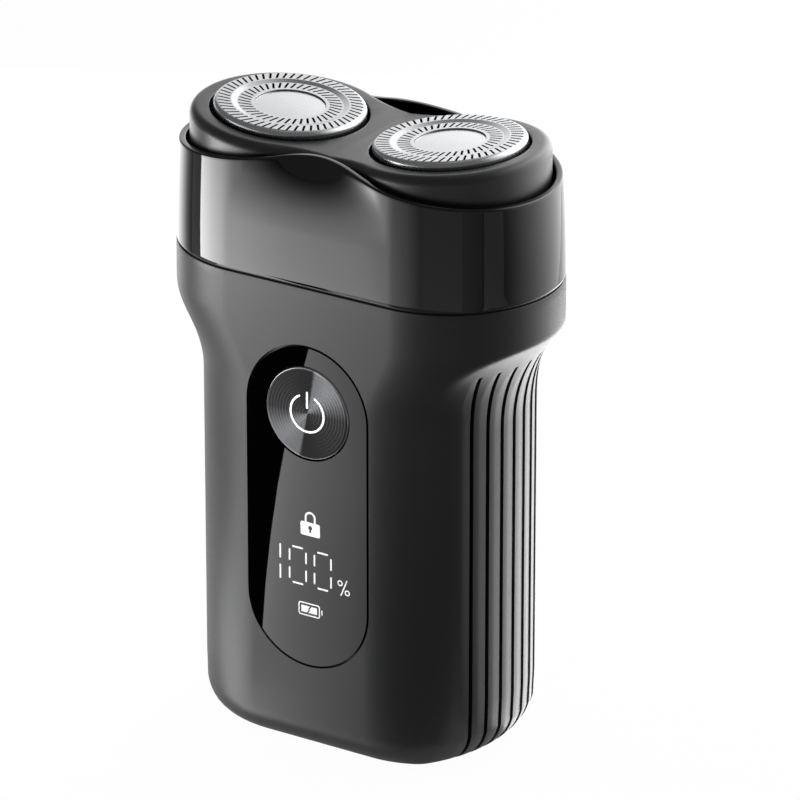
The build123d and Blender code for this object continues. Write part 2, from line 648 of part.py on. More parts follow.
def tact_switch():
    """Small switch behind the button."""
    nose = FRONT_Y + SHELL_WALL + 0.5 + BUTTON_TRAVEL + 0.05
    body = block(-2.3, 2.3, nose + 0.25, FRONT_BOARD_Y, BUTTON_Z - 2.3, BUTTON_Z + 2.3)
    return body + front_disc(1.0, nose, nose + 0.4, BUTTON_Z)


def battery_tabs():
    """Two nickel strips from the cell to the rear board."""
    back = MAIN_BOARD_Y - 0.02
    low = block(-2.5, 2.5, CELL_Y, back, CELL_LOW - 0.2, CELL_LOW)
    low += block(-2.5, 2.5, back - 0.2, back, CELL_LOW - 0.2, CELL_LOW + 5.55)
    high = block(-2.5, 2.5, CELL_Y, back, CELL_HIGH, CELL_HIGH + 0.2)
    high += block(-2.5, 2.5, back - 0.2, back, CELL_HIGH - 5.6, CELL_HIGH + 0.2)
    return Compound(children=[low, high])


def seam_gasket():
    """Thin seal between handle and collar, set a little under the surface."""
    outer = stadium(HEAD_X, COLLAR_R - 0.35)
    ring = rise(outer, SEAM_Z - SEAM_GAP / 2, SEAM_Z + SEAM_GAP / 2)
    return ring - rise(stadium(CAVITY_TOP_X, CAVITY_R), SEAM_Z - 1, SEAM_Z + 1)


def both(make):
    """Two copies of an upright piece, one on each gear axis."""
    return Compound(children=[Pos(-GEAR_X, 0, 0) * make, Pos(GEAR_X, 0, 0) * make])


def build_parts():
    """All nodes by name."""
    nodes = {}
    nodes["handle_shell"] = handle_shell()
    nodes["display_window"] = window_lens()
    nodes["button_face"] = front_disc(BUTTON_R, FRONT_Y, FRONT_Y + BUTTON_FACE_T, BUTTON_Z)
    nodes["button_carrier"] = button_carrier()
    nodes["tact_switch"] = tact_switch()
    board = WINDOW_R - 0.5
    nodes["display_board"] = block(-board, board, FRONT_BOARD_Y, FRONT_BOARD_Y + BOARD_T, 12, BUTTON_Z + 6.6)
    led_y = FRONT_Y + WINDOW_T + 0.05
    nodes["led_module"] = block(-LED_HALF, LED_HALF, led_y, FRONT_BOARD_Y, LED_LOW, LED_HIGH)
    nodes["main_board"] = block(-10, 10, MAIN_BOARD_Y, MAIN_BOARD_Y + BOARD_T, 4, MOTOR_LOW - 1.0)
    socket = rise(usb_plan(0), USB_Z, USB_Z + USB_L) - rise(usb_plan(0.3), USB_Z - 1, USB_Z + USB_L - 0.8)
    nodes["usb_socket"] = socket
    nodes["usb_tongue"] = block(-3.35, 3.35, USB_Y - 0.35, USB_Y + 0.35, USB_Z + 1.0, USB_Z + USB_L - 0.8)
    nodes["battery_cell"] = rod(CELL_R, CELL_LOW, CELL_HIGH, 0, CELL_Y)
    nodes["battery_tabs"] = battery_tabs()
    nodes["chassis"] = chassis()
    nodes["motor_case"] = motor_case()
    plug = rise(motor_plan(0.82), MOTOR_LOW, MOTOR_LOW + 2.0) + rod(2.6, MOTOR_LOW - 0.5, MOTOR_LOW + 0.5)
    nodes["motor_end_cap"] = plug - rod(SHAFT_R + RUN_FIT, MOTOR_LOW + 0.4, MOTOR_LOW + 5)
    stack = rod(6.3, MOTOR_LOW + 4.5, BASE_PLATE_Z - 3.5)
    nodes["motor_armature"] = stack - rod(SHAFT_R, MOTOR_LOW, BASE_PLATE_Z)
    nodes["motor_shaft"] = rod(SHAFT_R, MOTOR_LOW + 0.5, GEAR_Z + GEAR_T + 0.6)
    pinion = rise(toothed(PINION_TEETH, 0.0), GEAR_Z - 0.2, GEAR_Z + GEAR_T + 0.2)
    nodes["drive_pinion"] = pinion - rod(SHAFT_R, GEAR_Z - 1, GEAR_Z + 5)
    nodes["gear_base"] = gear_base()
    seat = BASE_PLATE_Z + BASE_PLATE_T
    small = [screw(0, side * MOTOR_SCREW_Y, seat, 3.2, 1.5, 0.8) for side in (-1, 1)]
    nodes["motor_screws"] = Compound(children=small)
    long = [screw(0, side * COLLAR_SCREW_Y, FLOOR_Z + 0.2, 15.5, 1.9, SCREW_R) for side in (-1, 1)]
    nodes["collar_screws"] = Compound(children=long)
    nodes["gear_axles"] = both(rod(SHAFT_R, BASE_PLATE_Z + 0.3, HUB_FLOOR - 0.1))
    nodes["thrust_washers"] = both(rod(2.6, seat, GEAR_Z - 0.05) - rod(SHAFT_R + 0.02, seat - 1, GEAR_Z + 1))
    seal = rod(HUB_SEAL_R - 0.02, FLOOR_Z, FLOOR_Z + 1.5) - rod(HUB_R + 0.06, FLOOR_Z - 1, FLOOR_Z + 3)
    nodes["hub_seals"] = both(seal)
    nodes["seam_gasket"] = seam_gasket()
    nodes["head_shell"] = head_shell()
    nodes["head_frame"] = head_frame()
    nodes["retainer_plate"] = retainer_plate()
    cap = shaving_cap()
    disc = cap_disc()
    blades = cutter()
    hub = cutter_hub()
    for name, side in SIDES.items():
        place = head_place(side)
        nodes[f"shaving_cap_{name}"] = place * cap
        nodes[f"cap_disc_{name}"] = place * disc
        nodes[f"cutter_{name}"] = place * blades
        nodes[f"cutter_hub_{name}"] = place * hub
        nodes[f"gear_{name}"] = drive_gear(side)
        nodes[f"hub_cap_{name}"] = hub_cap(side)
        nodes[f"spindle_{name}"] = spindle(side)
        nodes[f"spindle_spring_{name}"] = spindle_spring(side)
    return nodes


os.makedirs("parts", exist_ok=True)
for node, shape in build_parts().items():
    export_step(shape, f"parts/{node}.step")
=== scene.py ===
import logging
import math
from dataclasses import dataclass, field
from enum import Enum
from typing import Sequence

import bpy
import numpy as np
from mathutils import Matrix, Vector


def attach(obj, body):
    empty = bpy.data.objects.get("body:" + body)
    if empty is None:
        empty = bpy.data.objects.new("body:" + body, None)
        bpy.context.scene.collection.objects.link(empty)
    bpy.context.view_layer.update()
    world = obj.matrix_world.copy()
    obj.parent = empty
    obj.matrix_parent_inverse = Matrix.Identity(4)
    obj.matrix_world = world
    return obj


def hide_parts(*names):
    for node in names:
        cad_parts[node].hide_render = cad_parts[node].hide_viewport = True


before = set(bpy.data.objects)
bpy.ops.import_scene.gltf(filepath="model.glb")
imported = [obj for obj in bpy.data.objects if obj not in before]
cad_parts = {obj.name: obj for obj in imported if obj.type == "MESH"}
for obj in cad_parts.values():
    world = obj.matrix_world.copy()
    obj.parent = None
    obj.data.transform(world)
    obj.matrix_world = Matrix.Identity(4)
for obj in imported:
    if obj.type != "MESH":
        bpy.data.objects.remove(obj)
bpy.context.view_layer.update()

LOG = logging.getLogger("shaver")
MM = 0.001
QUARTER = math.pi / 2
SIDES = (-1, 1)

# sizes shared by several pieces, in millimetres
FRONT_Y = -16.4
END_R = 16.4
BUTTON_Z = 53.4
BUTTON_R = 7.0
WINDOW_R = 10.0
WINDOW_LOW = 24.3
HEAD_X = 13.5
DECK_Z = 91.5
TILT = math.radians(4.7)
CREASE_Z = DECK_Z - HEAD_X * math.tan(TILT)
SEAM_LOW = 72.35
SEAM_HIGH = 72.65
# how far a cutting tool reaches past the face it opens
OVERCUT = 1.0

Point = tuple[float, float]
Spot = tuple[float, float, float]
Box = tuple[float, float, float, float]
Rows = tuple[tuple[Spot, ...], tuple[Spot, ...]]


class Body(Enum):
    """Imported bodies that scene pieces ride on."""

    HANDLE = "handle"
    BUTTON = "power_button"
    FRAME = "head_frame"


class Glow(Enum):
    """Strength of the glowing marks: the display's own light, and a painted glow on the button's print."""

    DISPLAY = 0.46
    PRINT_WITH_PAINTED_GLOW = 0.8


def linear(code: str) -> tuple[float, float, float, float]:
    """Turn an sRGB hex colour into linear light.

    Args:
        code: Colour such as "#1a2b3c".

    Returns:
        Red, green, blue and an alpha of 1.
    """
    parts = [int(code[i:i + 2], 16) / 255 for i in (1, 3, 5)]
    light = [c / 12.92 if c <= 0.04045 else ((c + 0.055) / 1.055) ** 2.4 for c in parts]
    return (light[0], light[1], light[2], 1.0)


def add(tree: bpy.types.NodeTree, kind: str, settings: dict | None = None,
        links: dict | None = None) -> bpy.types.Node:
    """Add one shader node.

    Args:
        tree: Node tree to grow.
        kind: Node type name.
        settings: Attributes, or input sockets by name or number, with their values.
        links: Input sockets by name or number, with the output socket that feeds each.

    Returns:
        The new node.
    """
    made = tree.nodes.new(kind)
    for name, value in (settings or {}).items():
        if isinstance(name, str) and name not in made.inputs and hasattr(made, name):
            setattr(made, name, value)
        else:
            made.inputs[name].default_value = value
    for name, source in (links or {}).items():
        tree.links.new(source, made.inputs[name])
    return made


def maths(tree: bpy.types.NodeTree, how: str, first: bpy.types.NodeSocket,
          second: bpy.types.NodeSocket | float = 0.0) -> bpy.types.NodeSocket:
    """Add one maths node.

    Args:
        tree: Node tree to grow.
        how: Operation.
        first: Socket that feeds the first input.
        second: Socket or value for the second input.

    Returns:
        The result's socket.
    """
    if isinstance(second, bpy.types.NodeSocket):
        return add(tree, "ShaderNodeMath", {"operation": how}, {0: first, 1: second}).outputs[0]
    return add(tree, "ShaderNodeMath", {"operation": how, 1: second}, {0: first}).outputs[0]


def blank(name: str) -> bpy.types.Material:
    """Make a material with an empty node tree.

    Args:
        name: Name of the material.

    Returns:
        The material.
    """
    made = bpy.data.materials.new(name)
    made.use_nodes = True
    made.node_tree.nodes.clear()
    return made


@dataclass(frozen=True)
class Finish:
    """A surface finish: one principled shader with fixed values.

    Args:
        name: Material and process, used as the material's name.
        colour: sRGB hex colour.
        rough: Roughness of the surface.
        metal: 1 for bare metal, 0 otherwise.
        ior: Index of refraction.
    """

    name: str
    colour: str
    rough: float = 0.5
    metal: float = 0.0
    ior: float = 1.5

    def detail(self, tree: bpy.types.NodeTree, shader: bpy.types.Node) -> None:
        """Add patterns to the shader; plain finishes have none."""

    def build(self) -> bpy.types.Material:
        """Make the material, or return it if it was made before.

        Returns:
            The Blender material.
        """
        known = bpy.data.materials.get(self.name)
        if known:
            return known
        made = blank(self.name)
        tree = made.node_tree
        shader = add(tree, "ShaderNodeBsdfPrincipled", {
            "Base Color": linear(self.colour),
            "Roughness": self.rough,
            "Metallic": self.metal,
            "IOR": self.ior,
        })
        self.detail(tree, shader)
        add(tree, "ShaderNodeOutputMaterial", None, {"Surface": shader.outputs["BSDF"]})
        return made


@dataclass(frozen=True)
class Textured(Finish):
    """Finish with a fine texture that breaks up the sheen, from spark erosion, buffing or a polished mould.

    Args:
        grain: Size of the texture in millimetres.
        depth: Strength of its relief.
        relief: Height in millimetres that a full strength stands for.
        uneven: Share by which the roughness changes from place to place.
        usual: Range that the noise mostly keeps to.
        stretch: How many times longer the grain is along each axis.
    """

    grain: float = 0.16
    depth: float = 0.05
    relief: float = 0.02
    uneven: float = 0.2
    usual: Point = (0.3, 0.7)
    stretch: Spot = (1.0, 1.0, 1.0)

    def detail(self, tree: bpy.types.NodeTree, shader: bpy.types.Node) -> None:
        """Add the grain as a fine bump and a change of roughness.

        Args:
            tree: Material node tree.
            shader: The finish's principled shader.
        """
        where = add(tree, "ShaderNodeTexCoord")
        drawn = add(tree, "ShaderNodeVectorMath", {"operation": "DIVIDE", 1: self.stretch},
                    {0: where.outputs["Object"]})
        noise = add(tree, "ShaderNodeTexNoise", {"Scale": 1 / (self.grain * MM), "Detail": 2.0},
                    {"Vector": drawn.outputs[0]})
        bump = add(tree, "ShaderNodeBump", {"Strength": self.depth, "Distance": self.relief * MM},
                   {"Height": noise.outputs[0]})
        change = add(tree, "ShaderNodeMapRange",
                     {"From Min": self.usual[0], "From Max": self.usual[1],
                      "To Min": self.rough * (1 - self.uneven), "To Max": self.rough * (1 + self.uneven)},
                     {"Value": noise.outputs[0]})
        tree.links.new(bump.outputs["Normal"], shader.inputs["Normal"])
        tree.links.new(change.outputs[0], shader.inputs["Roughness"])


@dataclass(frozen=True)
class SpunMetal(Finish):
    """Metal faced on a lathe: rings round the Y axis, and a painted highlight in the base colour: two bright fans of
    sheen with painted shade between them.

    Args:
        pitch: Distance between tool marks in millimetres.
        depth: Strength of their relief.
        relief: Height in millimetres that a full strength stands for.
        wave_unit: Length over which Blender's ring texture repeats at a scale of 1.
        painted_fan_bearing: Bearing of the painted fans' sharp edge, in degrees from the top toward +X.
        fade: Share of a half turn over which a painted fan fades out.
        edge: Share of a half turn at which the next painted fan begins.
        dark: sRGB hex colour of the painted shade between the fans.
    """

    pitch: float = 0.48
    depth: float = 0.3
    relief: float = 0.03
    wave_unit: float = 0.314
    painted_fan_bearing: float = 14.0
    fade: float = 0.42
    edge: float = 0.97
    dark: str = "#252526"

    def detail(self, tree: bpy.types.NodeTree, shader: bpy.types.Node) -> None:
        """Add the turned rings, the radial tangent and the fans painted into the base colour as a highlight.

        Args:
            tree: Material node tree.
            shader: The finish's principled shader.
        """
        where = add(tree, "ShaderNodeTexCoord")
        centre = add(tree, "ShaderNodeVectorMath",
                     {"operation": "SUBTRACT", 1: (0, FRONT_Y * MM, BUTTON_Z * MM)}, {0: where.outputs["Object"]})
        rings = add(tree, "ShaderNodeTexWave",
                    {"wave_type": "RINGS", "rings_direction": "Y",
                     "Scale": self.wave_unit / (self.pitch * MM), "Distortion": 0.0},
                    {"Vector": centre.outputs[0]})
        bump = add(tree, "ShaderNodeBump", {"Strength": self.depth, "Distance": self.relief * MM},
                   {"Height": rings.outputs["Fac"]})
        tangent = add(tree, "ShaderNodeTangent", {"direction_type": "RADIAL", "axis": "Y"})
        shader.inputs["Anisotropic"].default_value = 1.0
        tree.links.new(bump.outputs["Normal"], shader.inputs["Normal"])
        tree.links.new(tangent.outputs[0], shader.inputs["Tangent"])
        # painted highlight: the base colour is bright in two fans and dark between them, by bearing round the
        # button's centre, under any light
        axes = add(tree, "ShaderNodeSeparateXYZ", None, {0: centre.outputs[0]})
        bearing = maths(tree, "ARCTAN2", axes.outputs["X"], axes.outputs["Z"])
        turned = maths(tree, "SUBTRACT", maths(tree, "DIVIDE", bearing, math.pi), self.painted_fan_bearing / 180)
        sheen = add(tree, "ShaderNodeValToRGB", None, {"Fac": maths(tree, "FRACT", turned)})
        line = sheen.color_ramp
        line.elements[0].color = linear(self.colour)
        line.elements[1].color = linear(self.dark)
        line.elements[1].position = self.fade
        line.elements.new(self.edge).color = linear(self.dark)
        line.elements.new(1.0).color = linear(self.colour)
        tree.links.new(sheen.outputs["Color"], shader.inputs["Base Color"])


@dataclass(frozen=True)
class Lit(Finish):
    """White mark that glows by itself: lit from behind in the display, and a painted glow on the button's print.

    Args:
        glow: How bright the mark is.
    """

    glow: Glow = Glow.DISPLAY

    def detail(self, tree: bpy.types.NodeTree, shader: bpy.types.Node) -> None:
        """Set the glow on the shader's own sockets."""
        shader.inputs["Emission Color"].default_value = linear(self.colour)
        shader.inputs["Emission Strength"].default_value = self.glow.value


# moulded housing: dark, even, with a soft sheen that follows the light
BODY = Textured("spark-textured ABS, dark grey", "#0e0f10", rough=0.40)
# collar: deep black with mirror-clear edges to every reflection, and the faint waves of a polished mould
PIANO = Textured("piano-black gloss ABS", "#040404", rough=0.03, ior=1.52, grain=6.0, depth=0.02, uneven=0.3)
# window: black behind a clear hard coat that mirrors the floor
LENS = Textured("hard-coated smoked acrylic", "#020202", rough=0.012, ior=1.52, grain=4.0, depth=0.01, uneven=0.3)
# button: dark anodised aluminium off the lathe, with fine rings, and two fans of light painted into its colour as a
# highlight
SPUN_WITH_PAINTED_FANS = SpunMetal("spun anodised aluminium with painted fans", "#67686a", rough=0.30, metal=1.0)
# button's edge: a thin bright line left by the diamond cut
CHAMFER = Textured("diamond-cut aluminium", "#96979a", rough=0.2, metal=1.0, grain=0.05, depth=0.01)
BUTTON_MOULD = Textured("moulded black ABS", "#0c0c0d", rough=0.4)
# deck: smoother than the handle, silky
DECK = Textured("satin moulded ABS", "#161718", rough=0.36, ior=1.6, grain=0.1, depth=0.02)
# caps: polished pressed steel, bright with soft edges and a trace of the buffing wheel
STEEL = Textured("polished pressed steel", "#bdbec0", rough=0.26, metal=1.0, grain=0.06, depth=0.02,
                 stretch=(12.0, 1.0, 1.0))
DISC = Textured("buffed steel disc", "#c2c3c5", rough=0.24, metal=1.0, grain=0.05, depth=0.02,
                stretch=(16.0, 1.0, 1.0))
# inner parts: each with the grain that its process leaves
CUTTER = Textured("ground blade steel", "#7d7f82", rough=0.3, metal=1.0, grain=0.04, stretch=(1.0, 10.0, 1.0))
ACETAL = Textured("natural acetal", "#dcd9cf", rough=0.45, grain=0.2, depth=0.02)
CARRIER = Textured("black moulded carrier", "#141415", rough=0.5)
CIRCUIT = Textured("solder-masked board", "#0d3a22", rough=0.35, grain=0.4, depth=0.1)
WRAP = Textured("cell shrink wrap", "#1f4f8a", rough=0.3, grain=3.0, depth=0.1, stretch=(1.0, 1.0, 4.0))
NICKEL = Textured("nickel strip", "#c8c3b8", rough=0.25, metal=1.0, grain=0.08, stretch=(1.0, 1.0, 12.0))
ZINC = Textured("zinc-plated steel", "#a9abae", rough=0.3, metal=1.0, grain=0.3, uneven=0.35)
BRASS = Textured("machined brass", "#c79a4b", rough=0.25, metal=1.0, grain=0.06, stretch=(1.0, 1.0, 0.2))
COPPER = Textured("wound copper", "#b8623a", rough=0.4, metal=1.0, grain=0.25, depth=0.3, stretch=(1.0, 1.0, 0.3))
RUBBER = Textured("moulded silicone rubber", "#0a0a0a", rough=0.7, grain=0.1)
# marks: clean white light behind the window, and white print on the button that is given a painted glow, as print
# gives no light
INK = Lit("white light-guide ink", "#dedede", rough=0.5, glow=Glow.DISPLAY)
PRINT_WITH_PAINTED_GLOW = Lit("white printed symbol with painted glow", "#f4f4f4", rough=0.5, glow=Glow.PRINT_WITH_PAINTED_GLOW)

NODES_IN: dict[Finish, tuple[str, ...]] = {
    BODY: ("handle_shell",),
    PIANO: ("head_shell",),
    LENS: ("display_window",),
    SPUN_WITH_PAINTED_FANS: ("button_face",),
    BUTTON_MOULD: ("button_carrier",),
    DECK: ("head_frame",),
    CARRIER: ("retainer_plate", "tact_switch", "led_module", "usb_tongue", "chassis", "motor_end_cap", "gear_base"),
    RUBBER: ("seam_gasket", "hub_seals"),
    CIRCUIT: ("display_board", "main_board"),
    ZINC: ("usb_socket", "motor_case", "motor_shaft", "motor_screws", "collar_screws", "gear_axles"),
    WRAP: ("battery_cell",),
    NICKEL: ("battery_tabs", "thrust_washers"),
    COPPER: ("motor_armature",),
    BRASS: ("drive_pinion",),
}
PAIRS_IN: dict[Finish, tuple[str, ...]] = {
    STEEL: ("shaving_cap",),
    DISC: ("cap_disc",),
    CUTTER: ("cutter",),
    ACETAL: ("cutter_hub", "gear", "hub_cap", "spindle"),
    ZINC: ("spindle_spring",),
}


def dress(node: str, finish: Finish) -> None:
    """Give a CAD node its finish.

    Args:
        node: Node name.
        finish: Finish for all of its slots.
    """
    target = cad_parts[node]
    made = finish.build()
    if not target.material_slots:
        target.data.materials.append(made)
    for place in target.material_slots:
        place.material = made


def clamp(value: float) -> float:
    """Keep a share between 0 and 1."""
    return min(max(value, 0), 1)


def ease(share: float) -> float:
    """Turn a straight climb from 0 to 1 into an S."""
    return share * share * (3 - 2 * share)


def smooth_curve(xs: Sequence[float], ys: Sequence[float], at: np.ndarray) -> np.ndarray:
    """Smooth curve through points, with slopes taken from the neighbours.

    Args:
        xs: Rising positions.
        ys: Values at those positions.
        at: Positions wanted.

    Returns:
        Values at the wanted positions.
    """
    x, y = np.asarray(xs, float), np.asarray(ys, float)
    slope = np.gradient(y, x)
    spot = np.clip(np.searchsorted(x, at) - 1, 0, len(x) - 2)
    gap = x[spot + 1] - x[spot]
    t = np.clip((at - x[spot]) / gap, 0, 1)
    start = (1 + 2 * t) * (1 - t) ** 2 * y[spot] + t * (1 - t) ** 2 * gap * slope[spot]
    end = t * t * (3 - 2 * t) * y[spot + 1] + t * t * (t - 1) * gap * slope[spot + 1]
    return start + end


@dataclass(frozen=True)
class Outline:
    """Peanut outline: two round ends on the head centres and a waist of two wide arcs.

    Args:
        ends: Steps along each round end.
        mids: Steps along each waist arc.
        least: Least difference between end radius and waist, in millimetres.
    """

    ends: int = 132
    mids: int = 72
    least: float = 0.004

    def share(self) -> tuple[np.ndarray, np.ndarray]:
        """List the points of the outline.

        Returns:
            Which of the four arcs each point is on, and how far along it.
        """
        steps = (self.ends, self.mids, self.ends, self.mids)
        arcs = [np.full(count, index) for index, count in enumerate(steps)]
        along = [np.arange(count) / count for count in steps]
        return np.concatenate(arcs), np.concatenate(along)

    def at(self, end_r: np.ndarray | float, waist: np.ndarray | float) -> np.ndarray:
        """Place the points.

        Args:
            end_r: End radius for each point, in millimetres.
            waist: Half depth at the waist for each point.

        Returns:
            One X, Y row for each point.
        """
        arc, along = self.share()
        end_r = np.broadcast_to(end_r, arc.shape).astype(float)
        waist = np.minimum(np.broadcast_to(waist, arc.shape), end_r - self.least)
        reach = (HEAD_X ** 2 + waist ** 2 - end_r ** 2) / (2 * (end_r - waist))
        part = end_r / (end_r + reach)
        touch_x = HEAD_X * (1 - part)
        touch_y = (waist + reach) * part
        angle = (2 * along - 1) * np.arctan2(touch_y, touch_x - HEAD_X)
        lean = np.arcsin(np.clip(touch_x / reach, -1, 1)) * (1 - 2 * along)
        round_end = arc % 2 == 0
        flat = np.where(round_end, HEAD_X + end_r * np.cos(angle), reach * np.sin(lean))
        deep = np.where(round_end, end_r * np.sin(angle), waist + reach * (1 - np.cos(lean)))
        side = np.where(arc < 2, 1.0, -1.0)
        return np.stack([side * flat, side * deep], axis=1)


def ring(flat: np.ndarray, height: np.ndarray | float) -> np.ndarray:
    """Join X, Y rows with one height, or one for each row."""
    return np.column_stack([flat, np.broadcast_to(height, len(flat))])


def standing(flat: np.ndarray, y: float) -> np.ndarray:
    """Join X, Z rows with one Y."""
    return np.column_stack([flat[:, 0], np.full(len(flat), y), flat[:, 1]])


def circle(radius: float, steps: int) -> np.ndarray:
    """Points round a circle."""
    turn = np.linspace(0, 2 * math.pi, steps, endpoint=False)
    return np.stack([np.cos(turn), np.sin(turn)], axis=1) * radius


def stadium(ends: Sequence[Point], radius: float, start: float, steps: int) -> np.ndarray:
    """Outline of two half circles joined by straight sides.

    Args:
        ends: Centres of the half circles.
        radius: Their radius.
        start: Angle at which the first half begins.
        steps: Points on each half.

    Returns:
        One row for each point.
    """
    rows = []
    for half, (across, up) in enumerate(ends):
        turn = np.linspace(0, math.pi, steps) + start + half * math.pi
        rows.append(np.stack([across + radius * np.cos(turn), up + radius * np.sin(turn)], axis=1))
    return np.concatenate(rows)


def quads(rows: int, count: int, closed: bool = True) -> list[tuple[int, ...]]:
    """Faces between stacked rows of points.

    Args:
        rows: Number of rows.
        count: Points in each row.
        closed: Whether the last point of a row joins the first.

    Returns:
        Point numbers of each face.
    """
    faces: list[tuple[int, ...]] = []
    for row in range(rows - 1):
        for col in range(count if closed else count - 1):
            low, nxt = row * count + col, row * count + (col + 1) % count
            faces.append((low, nxt, nxt + count, low + count))
    return faces


def piece(name: str, spots: Sequence[Sequence[float]], faces: Sequence[Sequence[int]]) -> bpy.types.Object:
    """Mesh object from points and faces.

    Args:
        name: Name of the object.
        spots: Points in metres.
        faces: Rows of point numbers.

    Returns:
        The object, linked to the scene.
    """
    data = bpy.data.meshes.new(name)
    data.from_pydata([tuple(p) for p in spots], [], faces)
    data.validate()
    made = bpy.data.objects.new(name, data)
    bpy.context.scene.collection.objects.link(made)
    return made


def solid(name: str, rings: Sequence[np.ndarray]) -> bpy.types.Object:
    """Closed mesh from stacked rings with the same number of points.

    Args:
        name: Name of the object.
        rings: Rings of points in millimetres, in order along the surface.

    Returns:
        The object, linked to the scene.
    """
    count = len(rings[0])
    last = (len(rings) - 1) * count
    faces = quads(len(rings), count)
    faces += [tuple(reversed(range(count))), tuple(range(last, last + count))]
    return piece(name, np.concatenate(rings) * MM, faces)


def combine(target: bpy.types.Object, tools: Sequence[bpy.types.Object], how: str = "DIFFERENCE") -> None:
    """Cut tools out of a mesh, or add them to it, in one step, and remove them.

    Args:
        target: Mesh to change.
        tools: Closed meshes that stay clear of each other.
        how: "DIFFERENCE" or "UNION".
    """
    spots: list[Vector] = []
    faces: list[tuple[int, ...]] = []
    for tool in tools:
        start = len(spots)
        spots += [spot.co.copy() for spot in tool.data.vertices]
        faces += [tuple(start + index for index in face.vertices) for face in tool.data.polygons]
        bpy.data.objects.remove(tool)
    joined = piece("tools", spots, faces)
    step = target.modifiers.new("combine", "BOOLEAN")
    step.operation = how
    step.solver = "EXACT"
    step.object = joined
    graph = bpy.context.evaluated_depsgraph_get()
    done = bpy.data.meshes.new_from_object(target.evaluated_get(graph))
    target.modifiers.clear()
    target.data = done
    bpy.data.objects.remove(joined)


def drum(name: str, radius: float, low: float, high: float, place: Matrix, steps: int = 96) -> bpy.types.Object:
    """Closed cylinder along the local Z of a place.

    Args:
        name: Name of the object.
        radius: Radius in millimetres.
        low: Lower end in millimetres.
        high: Upper end in millimetres.
        place: Where the local frame sits, in metres.
        steps: Number of sides.

    Returns:
        The object.
    """
    flat = circle(radius, steps)
    made = solid(name, [ring(flat, low), ring(flat, high)])
    made.data.transform(place)
    return made


def head_place(side: int) -> Matrix:
    """Local frame of a shaving head: deck surface at the head centre, tilted inward.

    Args:
        side: -1 for the left head, 1 for the right.

    Returns:
        The frame in metres.
    """
    return Matrix.Translation((side * HEAD_X * MM, 0, DECK_Z * MM)) @ Matrix.Rotation(-side * TILT, 4, "Y")


def place_piece(made: bpy.types.Object, body: Body, finish: Finish, nodes: Sequence[str] = (),
                limit: float = 32.0) -> None:
    """Shade and dress a new piece, let it ride on its body and log it.

    Args:
        made: The piece.
        body: Body that carries it.
        finish: Finish for the whole piece.
        nodes: CAD nodes that it stands for.
        limit: Angle in degrees above which an edge stays sharp.
    """
    made.data.polygons.foreach_set("use_smooth", [True] * len(made.data.polygons))
    made.data.set_sharp_from_angle(angle=math.radians(limit))
    made.data.materials.clear()
    made.data.materials.append(finish.build())
    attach(made, body.value)
    if nodes:
        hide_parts(*nodes)
    LOG.info("%s rides on %s", made.name, body.value)


